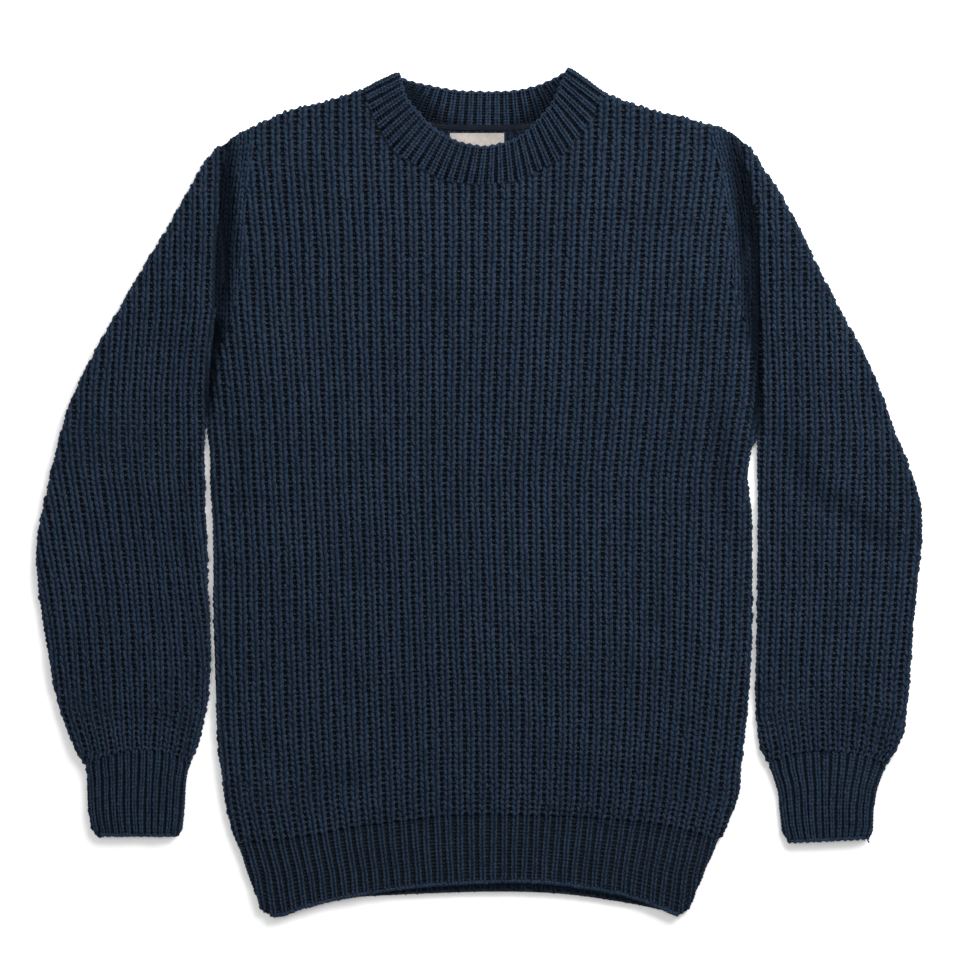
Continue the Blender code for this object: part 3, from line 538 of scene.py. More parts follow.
class Courses:
    """The rows of knitting, from a starting edge up."""

    def __init__(self, start: np.ndarray, end: np.ndarray, pitch: float, total: int) -> None:
        """Share out the rows between two edges.

        Args:
            start: The edge that the first row is on.
            end: The edge or level line where the rows have its form.
            pitch: How far apart the rows are.
            total: How many rows are knitted, which may pass the end line.
        """
        self.start = start[np.argsort(start[:, 0])]
        self.end = end[np.argsort(end[:, 0])]
        self.pitch = pitch
        self.between = round((self.end[:, 1].mean() - self.start[:, 1].mean()) / pitch)
        self.total = total if total else self.between

    def height(self, row: np.ndarray, x: np.ndarray) -> np.ndarray:
        """The Y of a row at each X."""
        low = np.interp(x, self.start[:, 0], self.start[:, 1])
        high = np.interp(x, self.end[:, 0], self.end[:, 1])
        beyond = np.maximum(row - self.between, 0.0) * self.pitch
        return low + (high - low) * np.minimum(row / self.between, 1.0) + beyond


class Crease(NamedTuple):
    """A soft trough, or a ridge where its depth is below 0."""

    spots: Sequence[Spot]
    depth: float
    width: float


LEFT_VALLEY = path(
    (-229.0, 318.0), (-230.0, 290.0), (-230.5, 250.0), (-232.0, 205.0), (-234.5, 165.0), (-237.0, 140.0))
LEFT_VALLEY_FOOT = path((-236.5, 150.0), (-239.5, 128.0), (-243.5, 100.0), (-247.0, 64.0))
RIGHT_VALLEY = path(
    (229.5, 318.0), (238.0, 282.0), (242.0, 250.0), (245.0, 210.0), (248.5, 165.0), (250.5, 140.0))
RIGHT_VALLEY_FOOT = path((250.0, 150.0), (251.7, 128.0), (253.0, 100.0), (252.5, 49.0))
BODY_CREASES = [
    Crease(LEFT_VALLEY, 6.0, 11.0),
    Crease(LEFT_VALLEY_FOOT, 5.5, 5.5),
    Crease(path((-214.0, 300.0), (-213.0, 240.0), (-216.0, 170.0), (-224.0, 90.0)), -1.6, 9.0),
    Crease(RIGHT_VALLEY, 6.5, 11.0),
    Crease(RIGHT_VALLEY_FOOT, 5.5, 5.5),
    Crease(path((219.0, 290.0), (226.0, 230.0), (232.0, 170.0)), -1.6, 9.0),
    Crease(path((222.0, 105.0), (218.0, 40.0), (226.0, -40.0)), 2.2, 14.0),
    Crease(path((-226.0, 66.0), (-214.0, 20.0), (-221.0, -30.0)), 1.4, 10.0),
    Crease(path((-150.0, 255.0), (-110.0, 236.0), (-50.0, 238.0)), 0.8, 12.0),
    Crease(path((96.0, 252.0), (150.0, 262.0), (205.0, 250.0)), -0.8, 18.0),
    Crease(path((-180.0, 168.0), (-150.0, 142.0), (-120.0, 96.0)), 0.9, 15.0),
    Crease(path((110.0, -30.0), (150.0, 0.0), (176.0, 48.0)), -1.0, 16.0),
    Crease(path((-190.0, -245.0), (-120.0, -262.0), (-60.0, -240.0)), 1.2, 17.0),
    Crease(path((40.0, -236.0), (110.0, -254.0), (180.0, -252.0)), 1.3, 16.0),
    Crease(path((-40.0, -120.0), (20.0, -150.0), (70.0, -110.0)), -0.9, 26.0),
    Crease(path((-150.0, 330.0), (-126.0, 312.0), (-112.0, 286.0)), 1.0, 11.0),
]
BACK_CREASES = [
    Crease(LEFT_VALLEY, 4.3, 10.0), Crease(LEFT_VALLEY_FOOT, 4.2, 7.0),
    Crease(RIGHT_VALLEY, 4.3, 10.0), Crease(RIGHT_VALLEY_FOOT, 4.2, 7.0),
]
LEFT_SLEEVE_CREASES = [
    Crease(LEFT_VALLEY, 6.0, 8.0),
    Crease(LEFT_VALLEY_FOOT, 5.5, 5.0),
    Crease(path((-252.0, 270.0), (-254.0, 200.0), (-260.0, 110.0)), -1.6, 8.0),
    Crease(path((-262.0, 60.0), (-268.0, -10.0), (-266.0, -90.0)), 1.6, 9.0),
    Crease(path((-372.0, -40.0), (-330.0, -52.0), (-290.0, -40.0)), 0.9, 13.0),
    Crease(path((-350.0, -214.0), (-310.0, -205.0), (-272.0, -212.0)), 1.0, 9.0),
]
RIGHT_SLEEVE_CREASES = [
    Crease(RIGHT_VALLEY, 6.0, 8.0),
    Crease(RIGHT_VALLEY_FOOT, 5.5, 5.0),
    Crease(path((268.0, 240.0), (272.0, 180.0), (276.0, 110.0)), -1.6, 8.0),
    Crease(path((270.0, 60.0), (310.0, 0.0), (388.0, -58.0)), 2.2, 15.0),
    Crease(path((322.0, 110.0), (346.0, 50.0), (378.0, 0.0)), -1.6, 16.0),
    Crease(path((276.0, -212.0), (315.0, -204.0), (360.0, -214.0)), 1.0, 9.0),
]


def crease_height(creases: Sequence[Crease], places: np.ndarray) -> np.ndarray:
    """How far the creases raise the cloth at each place.

    Args:
        creases: The creases.
        places: The places in plan.

    Returns:
        The heights, below 0 in a trough.
    """
    total = np.zeros(len(places))
    for crease in creases:
        line = curve(crease.spots, 12.0)
        start, along = line[:-1], np.diff(line, axis=0)
        offset = places[:, None, :] - start[None, :, :]
        share = np.clip((offset * along).sum(axis=2) / (along ** 2).sum(axis=1), 0.0, 1.0)
        gaps = np.linalg.norm(offset - share[:, :, None] * along, axis=2)
        nearest = gaps.argmin(axis=1)
        rows = np.arange(len(places))
        travelled = (nearest + share[rows, nearest]) / len(start)
        fade = np.sqrt(np.clip(np.sin(math.pi * (0.06 + 0.88 * travelled)), 0.0, 1.0))
        total -= crease.depth * fade * np.exp(-(gaps[rows, nearest] / crease.width) ** 2)
    return total


# The surface that stitches lie on


FACES_UP = 0.15


def area_in(rim: np.ndarray) -> float:
    """The area in an outline, which is below 0 if it runs clockwise."""
    x, y = rim[:, 0], rim[:, 1]
    return 0.5 * float((x * np.roll(y, -1) - np.roll(x, -1) * y).sum())


def rim_of(points: np.ndarray, faces: Sequence[Sequence[int]]) -> np.ndarray:
    """The outline of a solid's upper face, counterclockwise.

    Args:
        points: The solid's points.
        faces: Its triangles.

    Returns:
        The outline's points, with their heights.
    """
    keys, first, same = np.unique(np.round(points, 3), axis=0, return_index=True,
                                  return_inverse=True)
    same = same.ravel()
    after: dict[int, int] = {}
    edges = set()
    for face in faces:
        a, b, c = (points[i] for i in face)
        normal = np.cross(b - a, c - a)
        if normal[2] > FACES_UP * np.linalg.norm(normal):
            ring = [int(same[i]) for i in face]
            edges.update(zip(ring, ring[1:] + ring[:1]))
    for a, b in edges:
        if (b, a) not in edges:
            after[a] = b
    best = np.zeros((0, 3))
    best_area = 0.0
    while after:
        start, here = after.popitem()
        loop = [start]
        while here != start and here in after:
            loop.append(here)
            here = after.pop(here)
        run = points[first[loop]]
        area = area_in(run)
        if area > best_area:
            best, best_area = run, area
    return best


class Laid(NamedTuple):
    """Points on a surface."""

    points: np.ndarray
    ups: np.ndarray
    inside: np.ndarray
    folds: np.ndarray
    # How much painted shade each point gets, from 0 to 1.
    deep: np.ndarray


class Surface:
    """A CAD node's upper face, which runs on round its folds, with its creases."""

    FOLD_RADIUS = 4.6
    FOLD_HEIGHT = 5.9
    SEAM_MARGIN = 2.0
    LEAST_HEIGHT = 1.6
    MOST_PRESSED = 0.2
    # Painted shade in the creases starts at the first depth and is full at the second.
    PAINTED_SHADE_FROM = 0.6
    PAINTED_SHADE_AT = 4.6
    CREASE_FADE = 9.0
    MOST_TURN = 2.3
    ABOVE_ALL = 90.0

    def __init__(self, node: str, creases: Sequence[Crease] = ()) -> None:
        """Read the node.

        Args:
            node: The CAD node's name.
            creases: The creases in its cloth.
        """
        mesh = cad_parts[node].data
        self.vertices = np.array([v.co for v in mesh.vertices]) / MM
        self.faces = [tuple(p.vertices) for p in mesh.polygons]
        self.tree = BVHTree.FromPolygons([tuple(p) for p in self.vertices], self.faces)
        self.rim = rim_of(self.vertices, self.faces)
        self.creases = list(creases)
        self.area = area_in(self.rim)

    def drop(self, places: np.ndarray) -> np.ndarray:
        """The height of the node's upper face at each place, or NaN beside it."""
        result = np.full(len(places), np.nan)
        down = Vector((0.0, 0.0, -1.0))
        for i, (x, y) in enumerate(places):
            hit = self.tree.ray_cast(Vector((x, y, self.ABOVE_ALL)), down)[0]
            if hit is not None:
                result[i] = hit.z
        return result

    def from_rim(self, places: np.ndarray) -> tuple[np.ndarray, np.ndarray, np.ndarray, np.ndarray]:
        """Where the places are beside the outline.

        Args:
            places: The places in plan.

        Returns:
            How far inside each is, the way out, which are by a fold, and the rim's height.
        """
        start = self.rim[:, :2]
        end = np.roll(start, -1, axis=0)
        along = end - start
        length = (along ** 2).sum(axis=1)
        outward = unit(np.column_stack((along[:, 1], -along[:, 0])))
        low = np.maximum(self.rim[:, 2], np.roll(self.rim[:, 2], -1))
        gaps, nearest, within = [], [], []
        for part in np.array_split(places, max(1, len(places) // 1500)):
            offset = part[:, None, :] - start[None, :, :]
            share = np.clip((offset * along).sum(axis=2) / length, 0.0, 1.0)
            away = np.linalg.norm(offset - share[:, :, None] * along, axis=2)
            nearest.append(away.argmin(axis=1))
            gaps.append(away.min(axis=1))
            y = part[:, 1, None]
            straddles = (start[:, 1] > y) != (end[:, 1] > y)
            rise = np.where(straddles, along[:, 1], 1.0)
            crossing = start[:, 0] + (y - start[:, 1]) * along[:, 0] / rise
            within.append((straddles & (part[:, 0, None] < crossing)).sum(axis=1) % 2 == 1)
        index = np.concatenate(nearest)
        inside = np.where(np.concatenate(within), 1.0, -1.0) * np.concatenate(gaps)
        return inside, outward[index], low[index] < self.FOLD_HEIGHT, low[index]

    def swell(self, places: np.ndarray, inside: np.ndarray) -> np.ndarray:
        """The creases' height, which fades towards the folds."""
        if not self.creases:
            return np.zeros(len(places))
        return crease_height(self.creases, places) * np.clip(inside / self.CREASE_FADE, 0.0, 1.0)

    def depth(self, places: np.ndarray) -> np.ndarray:
        """How deep in a crease the places are, from 0 to 1, which sets how much painted shade they get."""
        if not self.creases:
            return np.zeros(len(places))
        fall = -crease_height(self.creases, places) - self.PAINTED_SHADE_FROM
        return np.clip(fall / (self.PAINTED_SHADE_AT - self.PAINTED_SHADE_FROM), 0.0, 1.0)

    def lay(self, places: np.ndarray) -> Laid:
        """Lay places of the flat cloth on the surface.

        Cloth beyond a fold's start goes round the fold, and as far as it reaches below it.

        Args:
            places: The places in plan, which may be a little outside the outline.

        Returns:
            The laid points.
        """
        inside, out, folds, rim_height = self.from_rim(places)
        radius = self.FOLD_RADIUS
        round_it = folds & (inside < radius)
        margin = np.where(folds, radius, self.SEAM_MARGIN)
        inset = places + out * np.minimum(inside - margin, 0.0)[:, None]
        full = self.drop(inset)
        height = np.maximum(full - rim_height, 0.1)
        angle = np.where(round_it, (radius - inside) / (0.5 * (radius + height)), 0.0)
        angle = np.clip(angle, 0.0, self.MOST_TURN)
        reach = np.where(round_it, radius * np.sin(angle), 0.0)
        base = np.where(round_it[:, None], inset, places)
        plan = base + out * reach[:, None]
        fade = np.where(folds, inside, self.CREASE_FADE)
        z = np.where(round_it, rim_height + height * np.cos(angle), full)
        z = z + self.swell(plan, fade)
        shift = 2.0
        slopes = []
        for aside in (np.array((shift, 0.0)), np.array((0.0, shift))):
            rise = self.swell(plan + aside, fade) - self.swell(plan - aside, fade)
            slopes.append(-rise / (2.0 * shift))
        flat = np.column_stack((*slopes, np.ones(len(places))))
        turned = np.column_stack((out * np.sin(angle)[:, None], np.cos(angle)))
        ups = unit(np.where(round_it[:, None], turned, flat))
        lowest = np.maximum(z, self.LEAST_HEIGHT)
        return Laid(np.column_stack((plan, lowest)), ups, inside, folds, self.depth(places))


# Stitches


class Form(NamedTuple):
    """How finely a leg of yarn is made."""

    across: int
    rings: tuple[float, ...]
    swell: tuple[float, ...]


class Yarn(Enum):
    """The forms of yarn that show."""

    LEG = Form(5, (0.13, 0.5, 0.87), (0.74, 1.0, 0.74))
    BUMP = Form(4, (0.28, 0.72), (0.95, 0.95))


FLOOR_CLEARANCE = 0.05
LEG_FROM, LEG_TO = -28.0, 208.0


class Legs(NamedTuple):
    """Legs of yarn, each with three points, their ways up and its own sizes."""

    points: np.ndarray
    ups: np.ndarray
    half_width: np.ndarray
    half_height: np.ndarray
    sink: np.ndarray
    lean: np.ndarray
    # How much painted shade each leg gets, from 0 to 1.
    deep: np.ndarray


def leg_mesh(name: str, legs: Legs, form: Form, material: bpy.types.Material) -> bpy.types.Object:
    """Make one mesh of many legs of yarn.

    Args:
        name: The piece's name.
        legs: The legs.
        form: How finely each is made.
        material: The yarn's material.

    Returns:
        The piece.
    """
    count = len(legs.points)
    start, middle, end = (legs.points[:, None, k] for k in range(3))
    control = 2.0 * middle - 0.5 * (start + end)
    t = np.array((0.0, *form.rings, 1.0))[None, :, None]
    spine = (1 - t) ** 2 * start + 2 * t * (1 - t) * control + t ** 2 * end
    tangent = 2 * (1 - t) * (control - start) + 2 * t * (end - control)
    first, mid, last = (legs.ups[:, None, k] for k in range(3))
    up = (1 - t) ** 2 * first + 2 * t * (1 - t) * mid + t ** 2 * last
    side = unit(np.cross(tangent, up))
    up = unit(np.cross(side, tangent))
    lean = legs.lean[:, None, None]
    side, up = (side * np.cos(lean) - up * np.sin(lean), up * np.cos(lean) + side * np.sin(lean))
    centre = spine - up * legs.sink[:, None, None] * (2 * t - 1) ** 2
    angles = np.radians(np.linspace(LEG_FROM, LEG_TO, form.across))
    swell = np.array(form.swell)[None, :, None, None]
    wide = np.cos(angles)[None, None, :, None] * legs.half_width[:, None, None, None]
    high = np.sin(angles)[None, None, :, None] * legs.half_height[:, None, None, None]
    rings = (centre[:, 1:-1, None, :] + swell * wide * side[:, 1:-1, None, :]
             + swell * high * up[:, 1:-1, None, :])
    tips = centre[:, [0, -1]]
    points = np.concatenate((rings.reshape(count, -1, 3), tips), axis=1)
    points[:, :, 2] = np.maximum(points[:, :, 2], FLOOR_CLEARANCE)
    each = points.shape[1]
    ring_count = len(form.rings)
    faces = []
    for k in range(ring_count - 1):
        for j in range(form.across - 1):
            a = k * form.across + j
            faces.append((a, a + form.across, a + form.across + 1, a + 1))
    top = (ring_count - 1) * form.across
    for j in range(form.across - 1):
        faces.append((each - 2, j, j + 1))
        faces.append((each - 1, top + j + 1, top + j))
    loops = np.array([i for face in faces for i in face])
    sizes = np.array([len(face) for face in faces])
    share = np.tile(np.linspace(0.0, 1.0, form.across), ring_count)
    length = np.linalg.norm(end - start, axis=-1) / 4.0
    phase = np.random.default_rng(11).random((count, 1))
    run = np.repeat(np.array(form.rings), form.across)
    u = np.tile(np.concatenate((share, (0.5, 0.5))), (count, 1)) + phase
    v = np.concatenate((run, (0.0, 1.0)))[None, :] * length
    mesh = bpy.data.meshes.new(name)
    flat = points.reshape(-1, 3) * MM
    mesh.vertices.add(count * each)
    mesh.vertices.foreach_set("co", flat.astype(np.float32).ravel())
    index = (loops[None, :] + each * np.arange(count)[:, None]).ravel()
    mesh.loops.add(len(index))
    mesh.loops.foreach_set("vertex_index", index.astype(np.int32))
    starts = np.concatenate(([0], np.cumsum(np.tile(sizes, count))[:-1]))
    mesh.polygons.add(len(starts))
    mesh.polygons.foreach_set("loop_start", starts.astype(np.int32))
    mesh.update(calc_edges=True)
    low, high_corner = flat.min(axis=0), flat.max(axis=0)
    planar = ((flat - low) / (high_corner - low).max())[:, :2]
    # The fold map carries each leg's share of painted shade.
    deep = np.repeat(legs.deep, each)
    maps = {"OFBake": planar, "yarn": np.column_stack((u.ravel(), v.ravel())),
            "fold": np.column_stack((deep, deep))}
    for label, both in maps.items():
        layer = mesh.uv_layers.new(name=label)
        layer.uv.foreach_set("vector", both[index].astype(np.float32).ravel())
    mesh.shade_smooth()
    mesh.materials.append(material)
    piece = bpy.data.objects.new(name, mesh)
    bpy.context.scene.collection.objects.link(piece)
    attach(piece, "root")
    return piece


class LegBag:
    """Gathers legs until they are made into pieces."""

    MOST_LEGS = 7400
    MOST_UNEVEN = 2.0
    LIFT_SHARE = 0.8
    SIZE_SHARE = 0.09

    def __init__(self, seed: int) -> None:
        """Start empty, with the seed of the knitter's unevenness."""
        self.found: list[Legs] = []
        self.chance = np.random.default_rng(seed)

    def add(self, laid: Sequence[Laid], keep: np.ndarray, half_width: np.ndarray,
            half_height: float, sink: float, lean: float, lift: float,
            stray: float = 0.24) -> None:
        """Add legs.

        Args:
            laid: The starts, middles and ends on the surface.
            keep: Which legs are knitted.
            half_width: Half of each leg's width.
            half_height: Half of its height.
            sink: How far its ends go down into the cloth.
            lean: How far it leans to its side, in radians.
            lift: How high its middle line is above the surface.
            stray: How far the legs stray from their places.
        """
        points = np.stack([part.points for part in laid], axis=1)
        ups = np.stack([part.ups for part in laid], axis=1)
        keep = keep & np.isfinite(points).all(axis=(1, 2))
        if not keep.any():
            return
        points, ups = points[keep], ups[keep]
        count = len(points)
        uneven = self.chance.normal(0.0, 1.0, (count, 5))
        uneven = np.clip(uneven, -self.MOST_UNEVEN, self.MOST_UNEVEN)
        points = points + ups * (lift + self.LIFT_SHARE * stray * uneven[:, :1, None])
        points = points + stray * np.concatenate((uneven[:, 1:3], np.zeros((count, 1))),
                                                 axis=1)[:, None, :]
        wide = np.broadcast_to(half_width, keep.shape)[keep]
        self.found.append(Legs(points, ups, wide * (1.0 + self.SIZE_SHARE * uneven[:, 3]),
                               half_height * (1.0 + self.SIZE_SHARE * uneven[:, 4]),
                               np.full(count, sink), np.full(count, lean),
                               laid[1].deep[keep]))

    def pieces(self, name: str, form: Yarn,
               material: bpy.types.Material) -> list[bpy.types.Object]:
        """Make the legs into as few pieces as the limit allows.

        Args:
            name: The pieces' name, before their numbers.
            form: How finely the legs are made.
            material: The yarn's material.

        Returns:
            The pieces.
        """
        together = Legs(*(np.concatenate(parts) for parts in zip(*self.found)))
        order = np.argsort(together.points[:, 1, 1], kind="stable")
        runs = np.array_split(order, math.ceil(len(order) / self.MOST_LEGS))
        made = []
        for number, run in enumerate(runs, start=1):
            label = name if len(runs) == 1 else f"{name}_{number}"
            part = Legs(*(column[run] for column in together))
            made.append(leg_mesh(label, part, form.value, material))
        return made

    def where(self, shows: Callable[[np.ndarray], np.ndarray]) -> LegBag:
        """A bag with the legs whose middles in plan pass a test."""
        kept = LegBag(0)
        for batch in self.found:
            shown = shows(batch.points[:, 1, :2])
            if shown.any():
                kept.found.append(Legs(*(column[shown] for column in batch)))
        return kept

    def shade(self, deep: Callable[[np.ndarray], Union[np.ndarray, float]]) -> None:
        """Give the legs painted shade, from 0 to 1 by their middles, where they lie in shade."""
        self.found = [batch._replace(deep=np.maximum(batch.deep, deep(batch.points[:, 1, :2])))
                      for batch in self.found]


def in_box(low: Sequence[float], high: Sequence[float]) -> Callable[[np.ndarray], np.ndarray]:
    """A test for places in an upright rectangle."""
    return lambda spot: ((spot > low) & (spot < high)).all(axis=1)


def below(spots: Sequence[Spot], shift: float) -> Callable[[np.ndarray], np.ndarray]:
    """A test for places below a line that is moved up."""
    line = curve(spots, 4.0)
    line = line[np.argsort(line[:, 0])]
    return lambda spot: spot[:, 1] < np.interp(spot[:, 0], line[:, 0], line[:, 1]) + shift


@dataclass(frozen=True)
class Chain:
    """A line of legs end to end, as along a sewn seam or a bound edge."""

    pitch: float
    half_width: float
    half_height: float
    lift: float
    overlap: float = 0.66
    stray: float = 0.1

    def lay(self, bag: LegBag, run: np.ndarray, surfaces: Sequence[Surface]) -> None:
        """Lay the chain on the lowest of some surfaces.

        Args:
            bag: Where the legs go.
            run: The line in plan.
            surfaces: What it lies on.
        """
        length = np.linalg.norm(np.diff(run, axis=0), axis=1).sum()
        count = max(2, round(length / self.pitch))
        marks = (np.arange(count) + 0.5) / count
        parts = []
        for shift in (-self.overlap, 0.0, self.overlap):
            spots = evenly(run, np.clip(marks + shift / count, 0.0, 1.0))
            laid = [surface.lay(spots) for surface in surfaces]
            heights = np.array([part.points[:, 2] for part in laid])
            lowest = np.where(np.isfinite(heights), heights, Surface.ABOVE_ALL).argmin(axis=0)
            rows = np.arange(count)
            pick = [np.stack([part[k] for part in laid])[lowest, rows] for k in range(5)]
            flat = np.column_stack((spots, pick[0][:, 2]))
            parts.append(Laid(flat, pick[1], pick[2], pick[3], pick[4]))
        bag.add(parts, np.ones(count, bool), np.full(count, self.half_width),
                self.half_height, 0.3, 0.0, self.lift, self.stray)


@dataclass(frozen=True)
class Gauge:
    """The size of a stitch, as shares of a rib's width and of a course's height."""

    foot: float = 0.095
    knee: float = 0.224
    hand: float = 0.318
    start: float = -0.2
    end: float = 1.12
    half_width: float = 0.166
    half_height: float = 1.6
    sink: float = 0.7
    lean: float = 0.3
    lift: float = 0.1
    purl_width: float = 0.22
    purl_height: float = 0.95
    purl_lift: float = 0.3
    purl_stray: float = 0.42
    stray: float = 0.27

    def steps(self) -> tuple[tuple[float, float], ...]:
        """Where a leg starts, bends and ends, aside from its rib and up its row."""
        middle = 0.5 * (self.start + self.end)
        return (self.foot, self.start), (self.knee, middle), (self.hand, self.end)


PURL_BEND = ((-0.12, 0.4), (0.0, 0.6), (0.12, 0.4))
BODY_GAUGE = Gauge()
BAND_GAUGE = Gauge(foot=0.125, knee=0.178, hand=0.23, half_width=0.172, half_height=1.15,
                   sink=0.5, lean=0.25, start=-0.15, end=1.15, purl_height=0.6, purl_lift=-0.2,
                   stray=0.1)
EDGE_GAUGE = Gauge(foot=0.15, knee=0.185, hand=0.22, half_width=0.12, half_height=1.15,
                   sink=0.4, lean=0.2, start=-0.15, end=1.15, purl_width=0.18, purl_height=0.6,
                   purl_lift=-0.3, purl_stray=0.25, stray=0.13)
CUFF_GAUGE = Gauge(foot=0.125, knee=0.176, hand=0.225, half_width=0.188, half_height=1.15,
                   sink=0.3, lean=0.15, start=-0.2, end=1.2, stray=0.13)
PLAIN_GAUGE = Gauge(foot=0.1, knee=0.24, hand=0.37, half_width=0.235, half_height=1.35,
                    sink=0.7, lean=0.25, start=-0.2, end=1.1, stray=0.25)
ROLLED_EDGE = Chain(pitch=3.0, half_width=2.3, half_height=1.9, lift=-0.7, overlap=0.7, stray=0.22)
BOUND_EDGE = Chain(pitch=2.6, half_width=1.4, half_height=1.2, lift=0.1, stray=0.3)
CUFF_EDGE = Chain(pitch=2.6, half_width=1.5, half_height=1.3, lift=-0.1, overlap=0.7, stray=0.3)
ARMHOLE_SEAM = Chain(pitch=3.6, half_width=1.5, half_height=1.2, lift=-1.2)
NECK_SEAM = Chain(pitch=3.6, half_width=1.3, half_height=1.2, lift=-0.6)


@dataclass
class Knit:
    """Ribbed cloth on one CAD node."""

    WANDER: ClassVar[float] = 0.35
    PURL_MARGIN: ClassVar[float] = 1.5
    LONGEST_EDGE: ClassVar[float] = 15.0
    FOLD_REACH: ClassVar[float] = 4.6
    GROOVE_SHARE: ClassVar[float] = 0.27
    SEAM_FADE: ClassVar[float] = 4.0
    EDGE_INSET: ClassVar[float] = 0.25
    name: str
    surface: Surface
    ribs: Ribs
    courses: Courses
    gauge: Gauge
    seed: int

    def spot(self, number: np.ndarray, row: np.ndarray) -> np.ndarray:
        """Where a share of a rib is at a row.

        Args:
            number: The rib's number and the share of its width.
            row: The row's number and the share of its height.

        Returns:
            The places in plan.
        """
        y = self.courses.height(row, self.ribs.place(number, np.zeros(len(row))))
        for _ in range(3):
            y = self.courses.height(row, self.ribs.place(number, y))
        rib = np.floor(number)
        x = self.ribs.place(number, y) + self.WANDER * np.sin(y / 17.0 + 2.3 * rib)
        return np.column_stack((x, y + self.WANDER * np.sin(x / 29.0 + 1.1 * np.floor(row))))

    def grid(self, offset: float) -> tuple[np.ndarray, np.ndarray]:
        """The numbers of the ribs, shifted by a share of a rib, and the rows near the cloth."""
        ribs = np.arange(-3, math.ceil(self.ribs.count) + 3) + offset
        rows = np.arange(-2, self.courses.total + 2)
        number, row = (part.ravel().astype(float) for part in np.meshgrid(ribs, rows, indexing="ij"))
        rim = self.surface.rim[:, :2]
        near = in_box(rim.min(axis=0) - 6.0, rim.max(axis=0) + 6.0)(self.spot(number, row))
        return number[near], row[near]

    def keep(self, laid: Laid, seam_margin: float) -> np.ndarray:
        """Which places are on the cloth or just round its folds."""
        return np.where(laid.folds, laid.inside > -self.FOLD_REACH, laid.inside > seam_margin)

    def legs(self, bag: LegBag, seam_margin: float = 0.4) -> None:
        """Knit both legs of every stitch.

        Args:
            bag: Where the legs go.
            seam_margin: How far inside a seam a leg's middle is at least.
        """
        gauge = self.gauge
        number, row = self.grid(0.5)
        pitch = self.spot(number + 0.5, row)[:, 0] - self.spot(number - 0.5, row)[:, 0]
        for side in (-1.0, 1.0):
            parts = [self.surface.lay(self.spot(number + side * aside, row + share))
                     for aside, share in gauge.steps()]
            bag.add(parts, self.keep(parts[1], seam_margin), gauge.half_width * pitch,
                    gauge.half_height, gauge.sink, side * gauge.lean, gauge.lift, gauge.stray)

    def purls(self, bag: LegBag, seam_margin: float = 1.0) -> None:
        """Knit the small bumps in the grooves.

        Args:
            bag: Where the bumps go.
            seam_margin: How far inside a seam a bump's middle is at least.
        """
        number, row = self.grid(0.0)
        parts = [self.surface.lay(self.spot(number + aside, row + rise))
                 for aside, rise in PURL_BEND]
        width = np.full(len(number), self.gauge.purl_width * self.courses.pitch)
        chosen = self.keep(parts[1], seam_margin) & (parts[1].inside > self.PURL_MARGIN)
        bag.add(parts, chosen, width, self.gauge.purl_height,
                0.3, 0.0, self.gauge.purl_lift, self.gauge.purl_stray)

    def ground(self, wool: Wool, lower: float, deeper: float) -> bpy.types.Object:
        """Make the ground of cloth under the stitches, on the CAD node's own form.

        Args:
            wool: The knitting's materials.
            lower: How far it lies below the solid's face.
            deeper: How much deeper its grooves are.

        Returns:
            The piece, which replaces the node.
        """
        mesh = bmesh.new()
        mesh.from_mesh(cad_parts[NODE_OF[self.name]].data)
        bmesh.ops.remove_doubles(mesh, verts=mesh.verts, dist=1e-6)
        for _ in range(3):
            long = [edge for edge in mesh.edges if edge.calc_length() > self.LONGEST_EDGE * MM]
            bmesh.ops.subdivide_edges(mesh, edges=long, cuts=1)
            bmesh.ops.triangulate(mesh, faces=mesh.faces)
        mesh.normal_update()
        points = np.array([v.co for v in mesh.verts]) / MM
        normals = np.array([v.normal for v in mesh.verts])
        plan = points[:, :2]
        inside, _, folds, _ = self.surface.from_rim(plan)
        number = self.ribs.number(plan)
        share = number - np.floor(number)
        groove = 1.0 - np.clip(np.minimum(share, 1.0 - share) / self.GROOVE_SHARE, 0.0, 1.0)
        upper = (normals[:, 2] > 0.3) & (points[:, 2] > 0.5 * points[:, 2].max())
        fall = lower + deeper * groove * np.clip(inside / self.SEAM_FADE, 0.0, 1.0)
        crease = self.surface.swell(plan, np.where(folds, inside, self.surface.CREASE_FADE))
        face = self.surface.drop(plan)
        face = np.where(face > 1.0, face, self.surface.FOLD_HEIGHT)
        press = np.clip(1.0 + crease / face, self.surface.MOST_PRESSED, 1.0)
        points[:, 2] = (points[:, 2] - np.where(upper, fall, 0.0)) * press
        points[:, 2] += np.where(upper, np.maximum(crease, 0.0), 0.0)
        edge = ~upper & (np.abs(normals[:, 2]) < 0.9) & (inside < 1.0) & folds
        points[:, :2] -= np.where(edge, self.EDGE_INSET, 0.0)[:, None] * normals[:, :2]
        for vertex, point in zip(mesh.verts, points):
            vertex.co = point * MM
        # How much painted shade the ground gets in the creases, carried by the fold map.
        deep = self.surface.depth(plan)
        layer = mesh.loops.layers.uv.new("knit")
        fold = mesh.loops.layers.uv.new("fold")
        for face in mesh.faces:
            face.material_index = int(deeper > 0.0 and all(upper[v.index] for v in face.verts))
            for loop in face.loops:
                i = loop.vert.index
                loop[layer].uv = (number[i], plan[i, 1] / self.courses.pitch)
                loop[fold].uv = (deep[i], deep[i])
        piece = soft_piece(f"{self.name}_cloth", mesh, wool.ground, [NODE_OF[self.name]])
        piece.data.materials.append(wool.under)
        return piece

    def lie(self, flat: tuple[float, float], layers: int) -> None:
        """Work out the area of the sheet of cloth, which nothing uses.

        Args:
            flat: The cut's width and length, in millimetres.
            layers: How many layers of cloth lie on each other, 2 in a tube.
        """
        area = min(self.surface.area * layers, flat[0] * flat[1]) * MM * MM
        flat[0] * MM
        flat[1] * MM


